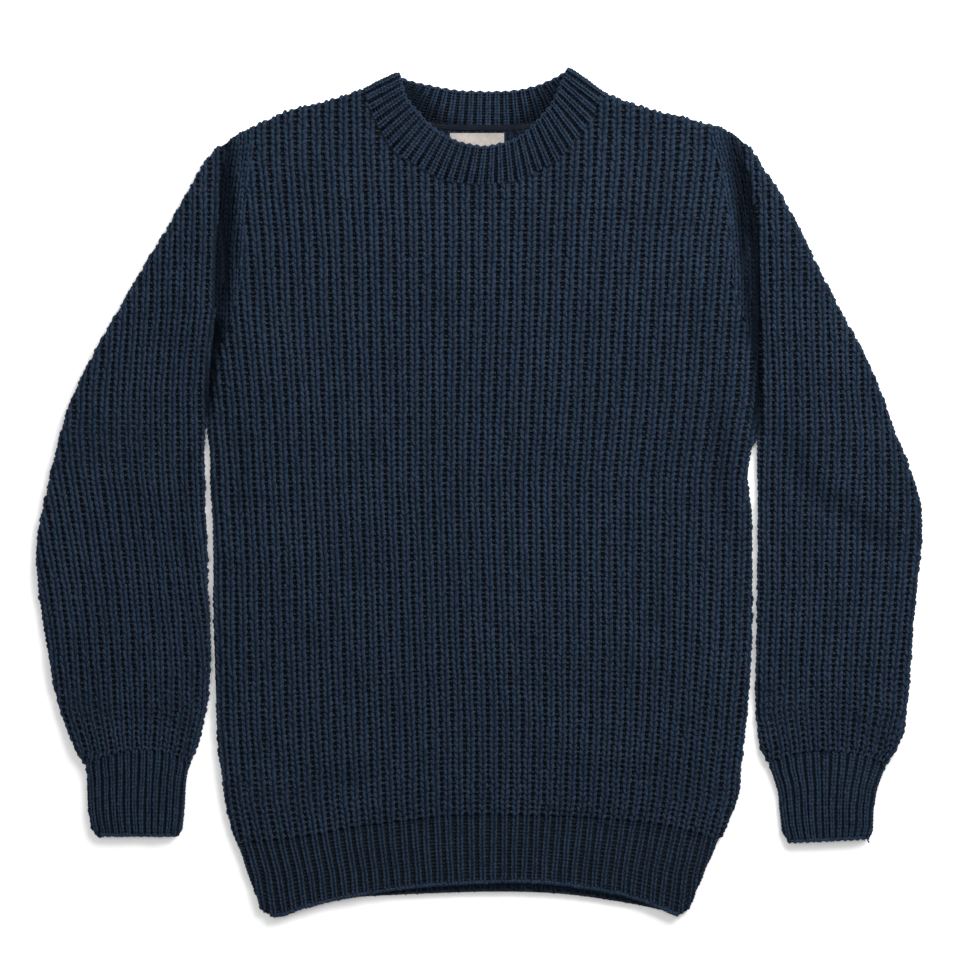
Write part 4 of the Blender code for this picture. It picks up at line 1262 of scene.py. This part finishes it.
NODE_OF = {
    "back": "back_panel",
    "front": "front_panel",
    "back_hem": "hem_back",
    "front_hem": "hem_front",
    "left_sleeve": "sleeve_left",
    "right_sleeve": "sleeve_right",
    "left_cuff": "cuff_left",
    "right_cuff": "cuff_right",
}


@dataclass(frozen=True)
class PlainStrip:
    """Plain stitches inside an armhole, where the panel is narrowed."""

    armhole: Sequence[Spot]
    inward: float
    width: float = 25.0
    full_from: float = 190.0
    ends_at: float = 112.0
    columns: int = 5
    pitch: float = 6.2

    def holds(self, places: np.ndarray) -> np.ndarray:
        """Which places are in the strip, or beyond it.

        Args:
            places: The places in plan.

        Returns:
            True for each such place.
        """
        line = curve(self.armhole, 4.0)
        line = line[np.argsort(line[:, 1])]
        x = np.interp(places[:, 1], line[:, 1], line[:, 0])
        share = (places[:, 1] - self.ends_at) / (self.full_from - self.ends_at)
        return (places[:, 0] - x) * self.inward < self.width * np.clip(share, 0.0, 1.0)

    def clears(self, places: np.ndarray) -> np.ndarray:
        """Which places are beside the strip, on the panel."""
        return ~self.holds(places)

    def knit(self, front: Knit) -> LegBag:
        """Knit the strip.

        Args:
            front: The panel that it is in.

        Returns:
            A bag with its legs.
        """
        rows = [RibRow(y, x, self.pitch, self.pitch) for x, y in self.armhole]
        ribs = Ribs(rows, 0 if self.inward > 0 else self.columns, self.columns)
        columns = Knit(front.name, front.surface, ribs, front.courses, PLAIN_GAUGE, front.seed)
        legs = LegBag(front.seed + 7)
        columns.legs(legs)
        return legs.where(self.holds)


def soft_piece(name: str, mesh: bmesh.types.BMesh, material: bpy.types.Material,
               nodes: Sequence[str]) -> bpy.types.Object:
    """Finish a mesh as a piece that replaces CAD nodes.

    Args:
        name: The piece's name.
        mesh: The mesh, which is freed.
        material: Its material.
        nodes: The CAD nodes that it replaces.

    Returns:
        The piece.
    """
    mesh.normal_update()
    data = bpy.data.meshes.new(name)
    mesh.to_mesh(data)
    mesh.free()
    data.shade_smooth()
    data.set_sharp_from_angle(angle=math.radians(50.0))
    data.materials.append(material)
    piece = bpy.data.objects.new(name, data)
    bpy.context.scene.collection.objects.link(piece)
    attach(piece, "root")
    if nodes:
        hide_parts(*nodes)
    return piece


# Sub-assemblies


@dataclass
class Wool:
    """The materials of the knitting."""

    yarn: bpy.types.Material = field(default_factory=CottonYarn(
        "navy_yarn", (0.0058, 0.011, 0.0199), (0.0145, 0.0298, 0.0512),
        (0.0196, 0.0275, 0.0493)).material)
    # The yarn of the bumps in the grooves is greyer, its own flecks, and darker, painted shade of the grooves.
    purl: bpy.types.Material = field(default_factory=CottonYarn(
        "navy_yarn_in_grooves", (0.0058, 0.0078, 0.0112), (0.0185, 0.0225, 0.0295),
        (0.031, 0.0315, 0.036)).material)
    ground: bpy.types.Material = field(default_factory=KnitGround(
        "navy_ground", (0.0038, 0.0062, 0.0106), (0.0103, 0.0174, 0.029)).material)
    under: bpy.types.Material = field(default_factory=KnitGround(
        "navy_under_stitches", (0.004, 0.0063, 0.01), (0.011, 0.0175, 0.0276)).material)

    def pieces(self, name: str, legs: LegBag, bumps: LegBag) -> list[bpy.types.Object]:
        """Make the pieces of some legs, and of the bumps in the grooves between them."""
        return (legs.pieces(f"{name}_stitches", Yarn.LEG, self.yarn)
                + bumps.pieces(f"{name}_purls", Yarn.BUMP, self.purl))


BODY_RIBS = 47
MIDDLE_GROOVE = 23
BESIDE_LABEL = (path((-70.0, 296.0), (-28.0, 345.0)), path((24.0, 296.0), (78.0, 345.0)))


@dataclass
class Body:
    """The front and the back."""

    wool: Wool
    course: float = 4.87
    level_line: float = 60.0
    rows: int = 138
    width: float = 487.0
    length: float = 685.0
    inside_shade: float = 0.8

    def build(self) -> None:
        """Make the back's ground, and the front's ground and stitches."""
        ribs = Ribs(BODY_RIB_ROWS, MIDDLE_GROOVE, BODY_RIBS)
        line = np.array(((-300.0, self.level_line), (300.0, self.level_line)))
        courses = Courses(curve(HEM_SEAM, 10.0), line, self.course, self.rows)
        back = Knit("back", Surface("back_panel", BACK_CREASES), ribs, courses, BODY_GAUGE, 3)
        under = back.ground(self.wool, lower=0.1, deeper=0.0)
        inner = LegBag(back.seed)
        back.purls(inner)
        back.legs(inner)
        shown = LegBag(0)
        for low, high in BESIDE_LABEL:
            shown.found += inner.where(in_box(low, high)).found
        shown = shown.where(below(BACK_NECK_SEAM, -7.5))
        shown.shade(lambda spot: self.inside_shade)
        hidden = shown.pieces("back_inside_stitches", Yarn.LEG, self.wool.yarn)
        back.lie((self.width, self.length), 1)
        front = Knit("front", Surface("front_panel", BODY_CREASES), ribs, courses, BODY_GAUGE, 5)
        over = front.ground(self.wool, lower=0.7, deeper=0.9)
        legs = LegBag(front.seed)
        front.legs(legs)
        bumps = LegBag(front.seed + 1)
        front.purls(bumps)
        strips = (PlainStrip(LEFT_ARMHOLE, 1.0), PlainStrip(RIGHT_ARMHOLE, -1.0))
        for strip in strips:
            legs, bumps = legs.where(strip.clears), bumps.where(strip.clears)
        for strip in strips:
            legs.found += strip.knit(front).found
        stitches = self.wool.pieces("front", legs, bumps)
        front.lie((self.width, self.length), 1)


@dataclass
class Hems:
    """The ribbed bands below the front and the back."""

    wool: Wool
    course: float = 3.4
    width: float = 436.0
    length: float = 93.0
    back_shade: float = 0.5

    def build(self) -> None:
        """Make both bands."""
        ribs = Ribs(BODY_RIB_ROWS, MIDDLE_GROOVE, BODY_RIBS)
        for name, edge in (("back_hem", HEM_BACK_EDGE), ("front_hem", HEM_FRONT_EDGE)):
            rows = Courses(curve(edge, 6.0), curve(HEM_SEAM, 6.0), self.course, 0)
            band = Knit(name, Surface(NODE_OF[name]), ribs, rows, EDGE_GAUGE, 21)
            upper = name == "front_hem"
            ground = band.ground(self.wool, lower=0.5 if upper else 0.2,
                                 deeper=0.7 if upper else 0.0)
            legs = LegBag(band.seed)
            bumps = LegBag(band.seed + 1)
            band.legs(legs, -0.6)
            band.purls(bumps)
            if upper:
                rolled = curve([Spot(x, y - 1.0) for x, y in edge[1:-1]], 5.0)
                ROLLED_EDGE.lay(legs, rolled, [band.surface])
            else:
                shows = below(HEM_FRONT_EDGE, 3.0)
                legs, bumps = legs.where(shows), bumps.where(shows)
                legs.shade(lambda spot: self.back_shade)
                bound = curve([Spot(x, y + 1.3) for x, y in edge[1:-1]], 5.0)
                BOUND_EDGE.lay(bumps, bound, [band.surface])
            stitches = self.wool.pieces(name, legs, bumps)
            band.lie((self.width, self.length), 1)


class Side(Enum):
    """The two sides of the sweater, as the camera sees them."""

    LEFT = "left"
    RIGHT = "right"


@dataclass
class Sleeve:
    """A sleeve, which is a flattened tube."""

    wool: Wool
    side: Side
    course: float = 5.0
    level_line: float = -150.0
    rows: int = 116
    width: float = 318.0
    length: float = 570.0

    def build(self) -> None:
        """Make the sleeve's ground and the stitches of its upper layer."""
        left = self.side is Side.LEFT
        rows = LEFT_SLEEVE_RIB_ROWS if left else RIGHT_SLEEVE_RIB_ROWS
        ribs = Ribs(rows, 8 if left else 6, 17)
        seam = curve(LEFT_CUFF_SEAM if left else RIGHT_CUFF_SEAM, 6.0)
        line = np.array(((-450.0, self.level_line), (450.0, self.level_line)))
        courses = Courses(seam, line, self.course, self.rows)
        name = f"{self.side.value}_sleeve"
        creases = LEFT_SLEEVE_CREASES if left else RIGHT_SLEEVE_CREASES
        knit = Knit(name, Surface(NODE_OF[name], creases), ribs, courses, BODY_GAUGE, 31 + left)
        ground = knit.ground(self.wool, lower=0.7, deeper=0.9)
        legs = LegBag(knit.seed)
        knit.legs(legs)
        bumps = LegBag(knit.seed + 5)
        knit.purls(bumps)
        body = Surface("front_panel", BODY_CREASES)
        armhole = curve(LEFT_ARMHOLE if left else RIGHT_ARMHOLE, 4.0)
        ARMHOLE_SEAM.lay(bumps, armhole, [knit.surface, body])
        stitches = self.wool.pieces(name, legs, bumps)
        knit.lie((self.width, self.length), 2)


@dataclass
class Cuff:
    """A ribbed cuff, which is a flattened tube."""

    wool: Wool
    side: Side
    course: float = 3.4
    ribs: float = 13.5
    width: float = 180.0
    length: float = 80.0

    def build(self) -> None:
        """Make the cuff's ground and the stitches of its upper layer."""
        left = self.side is Side.LEFT
        name = f"{self.side.value}_cuff"
        surface = Surface(NODE_OF[name])
        ribs = band_ribs(surface.rim, self.ribs)
        ends = LEFT_CUFF_EDGE if left else RIGHT_CUFF_EDGE
        seam = curve(LEFT_CUFF_SEAM if left else RIGHT_CUFF_SEAM, 6.0)
        courses = Courses(curve(ends, 6.0), seam, self.course, 0)
        knit = Knit(name, surface, ribs, courses, CUFF_GAUGE, 41 + left)
        ground = knit.ground(self.wool, lower=0.5, deeper=0.7)
        legs = LegBag(knit.seed)
        knit.legs(legs, -0.6)
        (start, level), (end, far_level) = ends
        inner = curve(path((start + 1.5, level + 1.5), (end - 1.5, far_level + 1.5)), 5.0)
        CUFF_EDGE.lay(legs, inner, [surface])
        stitches = legs.pieces(f"{name}_stitches", Yarn.LEG, self.wool.yarn)
        knit.lie((self.width, self.length), 2)


@dataclass
class Neckband:
    """The ribbed neckband, one ring that is folded flat at both shoulders."""

    wool: Wool
    front_ribs: int = 31
    back_ribs: int = 20
    fold_ribs: int = 2
    rows: int = 12
    front_height: float = 8.0
    back_height: float = 2.0
    half_wall: float = 2.0
    relief: float = 0.9
    over: float = 0.94
    fan: float = 0.041
    shade_to: float = 21.0
    shade_width: float = 13.0
    ground_shade: float = 0.7
    cut_width: float = 42.0
    cut_length: float = 400.0
    edge_bend: Sequence[tuple[float, float]] = ((-0.56, 0.935), (0.0, 1.0), (0.56, 0.935))
    purl_bend: Sequence[tuple[float, float]] = ((-0.14, 0.4), (0.0, 0.6), (0.14, 0.4))

    def corners(self, fold: Sequence[Spot]) -> tuple[np.ndarray, np.ndarray, np.ndarray]:
        """Where a fold's round is centred.

        Args:
            fold: The fold's ends, at the seam and at the open edge.

        Returns:
            The centre at the seam, the centre at the open edge, and the way out.
        """
        seam, edge = (np.array(spot) for spot in fold)
        along = unit(edge - seam)
        out = np.array((-along[1], along[0]))
        out = -out if out[1] < 0 else out
        reach = 0.5 * (self.front_height - self.back_height) + self.half_wall
        return seam - reach * out, edge - reach * out, out

    def lay(self, low: np.ndarray, high: np.ndarray, share: np.ndarray, base: np.ndarray,
            way: np.ndarray) -> Laid:
        """Lay points on the band.

        Args:
            low: The points at the seam.
            high: The points at the open edge.
            share: How far each point is from the seam to the edge.
            base: The height of the wall's middle at each.
            way: The way out of the cloth at each.

        Returns:
            The laid points.
        """
        along = np.column_stack((unit(high - low), np.zeros(len(low))))
        plan = low + (high - low) * np.minimum(share, self.over)[:, None]
        turn = np.clip((share - self.over) / (1.0 - self.over), 0.0, 1.1) * 0.5 * math.pi
        wall = self.half_wall + self.relief + 0.5 * np.sin(math.pi * np.clip(share, 0.0, 1.0))
        up = way * np.cos(turn)[:, None] + along * np.sin(turn)[:, None]
        flat = np.column_stack((plan, base))
        points = flat + way * (wall * np.cos(turn))[:, None]
        reach = (1.0 - self.over) * np.linalg.norm(high - low, axis=1)
        points = points + along * (reach * np.sin(turn))[:, None]
        none = np.zeros(len(low))
        return Laid(points, up, none + 9.0, none > 0.0, none)

    def knit(self, bag: LegBag, bumps: LegBag, low_run: np.ndarray, high_run: np.ndarray,
             ribs: int, height: float, fan: float) -> None:
        """Knit the ribs of one half of the band.

        Args:
            bag: Where the legs go.
            bumps: Where the small bumps in the grooves go.
            low_run: The seam's points, left to right.
            high_run: The open edge's points, left to right.
            ribs: How many ribs there are.
            height: The height of the wall's middle.
            fan: How much the ribs spread out at the seam's ends.
        """
        number, row = np.meshgrid(np.arange(ribs) + 0.5, np.arange(self.rows) - 0.4, indexing="ij")
        number, row = number.ravel(), row.ravel().astype(float)

        def at(mark: np.ndarray, across: np.ndarray) -> Laid:
            """Lay places by their shares of the way along the band and across it."""
            spread = mark - fan * np.sin(math.tau * (mark - 0.5))
            return self.lay(evenly(low_run, spread), evenly(high_run, mark), across,
                            np.full(len(mark), height), np.tile((0.0, 0.0, 1.0), (len(mark), 1)))

        gauge = BAND_GAUGE
        lows = np.linalg.norm(np.diff(evenly(low_run, np.linspace(0, 1, ribs + 1)), axis=0), axis=1)
        highs = np.linalg.norm(np.diff(evenly(high_run, np.linspace(0, 1, ribs + 1)), axis=0), axis=1)
        rib = number.astype(int)
        pitch = lows[rib] + (highs[rib] - lows[rib]) * row / self.rows
        for side in (-1.0, 1.0):
            parts = [at((number + side * aside) / ribs, (row + share) / self.rows)
                     for aside, share in gauge.steps()]
            bag.add(parts, np.ones(len(number), bool), gauge.half_width * pitch,
                    gauge.half_height, 0.4, side * gauge.lean, 0.25, gauge.stray)
        ends = np.arange(ribs) + 0.5
        parts = [at(np.clip((ends + aside) / ribs, 0.0, 1.0), np.full(ribs, share))
                 for aside, share in self.edge_bend]
        bag.add(parts, np.ones(ribs, bool), np.full(ribs, 1.35), 1.3, 0.2, 0.0, 0.0, gauge.stray)
        parts = [at(np.clip((number + 0.5 + aside) / ribs, 0.0, 1.0),
                    np.minimum((row + share) / self.rows, self.over))
                 for aside, share in self.purl_bend]
        bumps.add(parts, row < self.rows - 1.0, np.full(len(number), 0.55), 0.6, 0.3, 0.0, -0.8,
                  gauge.stray)

    def shaded(self, places: np.ndarray) -> np.ndarray:
        """How much the front half shades places of the back half, where it is close over them."""
        line = curve(FRONT_NECK_EDGE, 3.0)
        gap = np.linalg.norm(places[:, None] - line[None], axis=2).min(axis=1)
        return 0.9 * np.clip((self.shade_to - gap) / self.shade_width, 0.0, 1.0)

    def turn(self, bag: LegBag, fold: Sequence[Spot]) -> None:
        """Knit the ribs that go round one shoulder fold.

        Args:
            bag: Where the legs go.
            fold: The fold's ends, at the seam and at the open edge.
        """
        low, high, out = self.corners(fold)
        gauge = BAND_GAUGE
        middle = 0.5 * (self.front_height + self.back_height)
        radius = 0.5 * (self.front_height - self.back_height)
        spread = math.pi / self.fold_ribs
        row = np.tile(np.arange(self.rows + 1) - 0.8, self.fold_ribs)
        rib = np.repeat(np.arange(self.fold_ribs) + 0.5, self.rows + 1)
        handed = 1.0 if out[0] > 0 else -1.0
        for side in (-1.0, 1.0):
            parts = []
            for aside, share in gauge.steps():
                angle = 0.5 * math.pi - (rib + side * handed * aside) * spread
                way = np.column_stack((out[0] * np.cos(angle), out[1] * np.cos(angle), np.sin(angle)))
                starts = np.tile(low, (len(row), 1)) + radius * way[:, :2]
                ends = np.tile(high, (len(row), 1)) + radius * way[:, :2]
                parts.append(self.lay(starts, ends, (row + share) / self.rows,
                                      middle + radius * way[:, 2], way))
            bag.add(parts, np.ones(len(row), bool), np.full(len(row), 1.25), 1.2, 0.5,
                    side * handed * gauge.lean, -0.4, gauge.stray)

    def build(self) -> None:
        """Make the band's ground and its stitches."""
        left_seam, left_edge, _ = self.corners(LEFT_COLLAR_FOLD)
        right_seam, right_edge, _ = self.corners(RIGHT_COLLAR_FOLD)
        front_seam = curve([left_seam, *FRONT_NECK_SEAM, right_seam], 3.0)
        front_edge = curve([left_edge, *FRONT_NECK_EDGE, right_edge], 3.0)
        back_seam = curve([left_seam, *BACK_NECK_SEAM, right_seam], 3.0)
        back_edge = curve([left_edge, *BACK_NECK_EDGE, right_edge], 3.0)
        bag = LegBag(51)
        bumps = LegBag(52)
        self.knit(bag, bumps, front_seam, front_edge, self.front_ribs, self.front_height, 0.0)
        behind = LegBag(53)
        self.knit(behind, bumps, back_seam, back_edge, self.back_ribs, self.back_height, self.fan)
        behind.shade(self.shaded)
        bag.found += behind.found
        self.turn(bag, LEFT_COLLAR_FOLD)
        self.turn(bag, RIGHT_COLLAR_FOLD)
        seam = curve([Spot(x, y - 0.8) for x, y in FRONT_NECK_SEAM], 4.0)
        NECK_SEAM.lay(bumps, seam, [Surface("front_panel", BODY_CREASES)])
        stitches = self.wool.pieces("neckband", bag, bumps)
        ground = self.ground()

    def ground(self) -> bpy.types.Object:
        """Make the cloth under the stitches, a little inside the solid's face.

        Returns:
            The piece, which replaces the CAD node.
        """
        mesh = bmesh.new()
        mesh.from_mesh(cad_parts["collar"].data)
        bmesh.ops.remove_doubles(mesh, verts=mesh.verts, dist=1e-6)
        mesh.normal_update()
        inward = {v.index: v.normal.copy() for v in mesh.verts}
        layer = mesh.loops.layers.uv.new("knit")
        fold = mesh.loops.layers.uv.new("fold")
        for vertex in mesh.verts:
            shift = inward[vertex.index] * (0.35 * MM)
            if vertex.co.z > 0.6 * MM:
                vertex.co -= shift
        for face in mesh.faces:
            for loop in face.loops:
                place = loop.vert.co
                around = math.atan2(place.y - 0.345, place.x) * 12.0
                loop[layer].uv = (around, place.y / (3.4 * MM))
                loop[fold].uv = (self.ground_shade, self.ground_shade)
        return soft_piece("neckband_cloth", mesh, self.wool.under, ["collar"])


def woven_sheet(name: str, top: np.ndarray, thickness: float, finish: WovenCloth, node: str) -> bpy.types.Object:
    """Make a thin woven piece from the points of its upper face.

    Args:
        name: The piece's name.
        top: The upper face's points, in rows across the piece.
        thickness: How thick the cloth is.
        finish: Its finish.
        node: The CAD node that it replaces.

    Returns:
        The piece.
    """
    rows, columns = top.shape[:2]
    mesh = bmesh.new()
    layer = mesh.loops.layers.uv.new("weave")
    under = top - np.array((0.0, 0.0, thickness))
    layers = [[mesh.verts.new(point * MM) for point in face.reshape(-1, 3)] for face in (top, under)]
    steps = top.reshape(-1, 3)
    for i in range(rows - 1):
        for j in range(columns - 1):
            corners = [i * columns + j, i * columns + j + 1, (i + 1) * columns + j + 1,
                       (i + 1) * columns + j]
            for face_verts, order in ((layers[0], corners), (layers[1], corners[::-1])):
                face = mesh.faces.new([face_verts[k] for k in order])
                for loop, k in zip(face.loops, order):
                    loop[layer].uv = (steps[k, 0], steps[k, 1])
    ring = list(range(columns))
    ring += [i * columns + columns - 1 for i in range(1, rows)]
    ring += [(rows - 1) * columns + j for j in range(columns - 2, -1, -1)]
    ring += [i * columns for i in range(rows - 2, 0, -1)]
    for here, after in zip(ring, ring[1:] + ring[:1]):
        face = mesh.faces.new((layers[0][after], layers[0][here], layers[1][here], layers[1][after]))
        for loop, k in zip(face.loops, (after, here, here, after)):
            loop[layer].uv = (steps[k, 0], steps[k, 1])
    bmesh.ops.recalc_face_normals(mesh, faces=mesh.faces)
    return soft_piece(name, mesh, finish.material(), [node])


@dataclass
class NeckTape:
    """The twill tape that covers the back neck seam."""

    below_seam: float = 0.4
    width: float = 5.0
    thickness: float = 0.7
    base: float = 4.7
    left_end: float = -84.0
    right_end: float = 92.0
    cut_width: float = 10.0
    cut_length: float = 182.0
    finish: WovenCloth = WovenCloth("dark_twill_tape", (0.0016, 0.0026, 0.0044),
                                    (0.0090, 0.0112, 0.0172), 0.9, 1.0, 0.9, 0.02)

    def build(self) -> None:
        """Make the tape."""
        seam = curve(BACK_NECK_SEAM, 2.0)
        left = np.array((self.left_end, seam[0, 1] + 3.0))
        right = np.array((self.right_end, seam[-1, 1] + 3.5))
        run = evenly(np.vstack((left, seam, right)), np.linspace(0.0, 1.0, 90))
        low, high = cad_limits("neck_tape")
        run[:, 0] = np.clip(run[:, 0], low[0], high[0])
        shares = np.linspace(0.0, 1.0, 7)
        top = np.zeros((len(shares), len(run), 3))
        for i, share in enumerate(shares):
            top[i, :, 0] = run[:, 0]
            top[i, :, 1] = run[:, 1] - self.below_seam - self.width * (1.0 - share)
            crown = 0.35 * math.sin(math.pi * share)
            top[i, :, 2] = self.base + self.thickness + crown
        piece = woven_sheet("neck_tape_twill", top, self.thickness, self.finish, "neck_tape")
        self.width * self.cut_length * MM * MM


def cad_limits(node: str) -> tuple[np.ndarray, np.ndarray]:
    """A CAD node's lowest and highest corner, in millimetres."""
    low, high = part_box(node)
    return np.array(low) / MM, np.array(high) / MM


@dataclass
class NeckLabel:
    """The bare woven label below the tape."""

    width: float = 49.2
    height: float = 23.0
    thickness: float = 0.55
    middle: Spot = Spot(-1.8, 312.7)
    base: float = 4.75
    finish: WovenCloth = WovenCloth("beige_label_weave", (0.175, 0.16, 0.144),
                                    (0.37, 0.338, 0.312), 1.4, 0.0, 0.7, 0.1)

    def build(self) -> None:
        """Make the label, a little uneven, with its upper edge folded under."""
        xs = np.linspace(-0.5, 0.5, 40) * self.width + self.middle.x
        ys = np.linspace(-0.5, 0.5, 22) * self.height + self.middle.y
        x, y = np.meshgrid(xs, ys)
        z = self.base + self.thickness + 0.14 * np.sin(x / 6.1) * np.cos(y / 4.7)
        z = z + 0.25 * np.clip((y - self.middle.y) / self.height - 0.36, 0.0, 1.0) / 0.14
        top = np.stack((x, y, z), axis=-1)
        piece = woven_sheet("neck_label_cloth", top, self.thickness, self.finish, "neck_label")
        self.width * MM
        self.height * MM


@dataclass
class Studio:
    """The pale floor, the soft light and the camera straight above."""

    middle: Spot = Spot(0.91, 9.1)
    seen: float = 873.6
    camera_height: float = 3000.0
    sensor: float = 36.0
    floor: float = 9000.0

    def light(self, name: str, place: Sequence[float], size: float, power: float) -> None:
        """Add a square soft light that faces the sweater.

        Args:
            name: The light's name.
            place: Where it is, in metres.
            size: The length of its sides, in metres.
            power: Its power in watts.
        """
        lamp = bpy.data.lights.new(name, "AREA")
        lamp.shape = "SQUARE"
        lamp.size = size
        lamp.energy = power
        holder = bpy.data.objects.new(name, lamp)
        holder.location = place
        holder.rotation_euler = (-Vector(place)).to_track_quat("-Z", "Y").to_euler()
        bpy.context.scene.collection.objects.link(holder)

    def build(self) -> None:
        """Set up the floor, the lights, the world and the camera."""
        half = 0.5 * self.floor * MM
        mesh = bpy.data.meshes.new("floor")
        mesh.from_pydata([(-half, -half, -0.0002), (half, -half, -0.0002), (half, half, -0.0002),
                          (-half, half, -0.0002)], [], [(0, 1, 2, 3)])
        mesh.materials.append(PlainPaper().material())
        floor = bpy.data.objects.new("floor", mesh)
        bpy.context.scene.collection.objects.link(floor)
        self.light("key_light", (0.9, 1.25, 1.15), 1.3, 70.0)
        self.light("fill_light", (-0.4, 0.1, 2.8), 1.6, 36.0)
        world = bpy.data.worlds.new("soft_room")
        world.use_nodes = True
        back = world.node_tree.nodes["Background"]
        back.inputs["Color"].default_value = (1.0, 1.0, 1.0, 1.0)
        back.inputs["Strength"].default_value = 0.35
        bpy.context.scene.world = world
        bpy.context.scene.view_settings.view_transform = "Standard"
        lens = bpy.data.cameras.new("camera")
        lens.sensor_width = self.sensor
        lens.lens = self.sensor * self.camera_height / self.seen
        camera = bpy.data.objects.new("camera", lens)
        camera.location = (self.middle.x * MM, self.middle.y * MM, self.camera_height * MM)
        bpy.context.scene.collection.objects.link(camera)
        bpy.context.scene.camera = camera


def main() -> None:
    """Build the sweater piece by piece."""
    logging.basicConfig(level=logging.INFO, format="%(name)s: %(message)s")
    Studio().build()
    log.info("studio ready")
    wool = Wool()
    Body(wool).build()
    log.info("front and back knitted")
    Hems(wool).build()
    log.info("hems knitted")
    for side in Side:
        Sleeve(wool, side).build()
        Cuff(wool, side).build()
        log.info("%s sleeve and cuff knitted", side.value)
    Neckband(wool).build()
    log.info("neckband knitted")
    NeckTape().build()
    NeckLabel().build()
    log.info("tape and label sewn in")


if __name__ == "__main__":
    main()
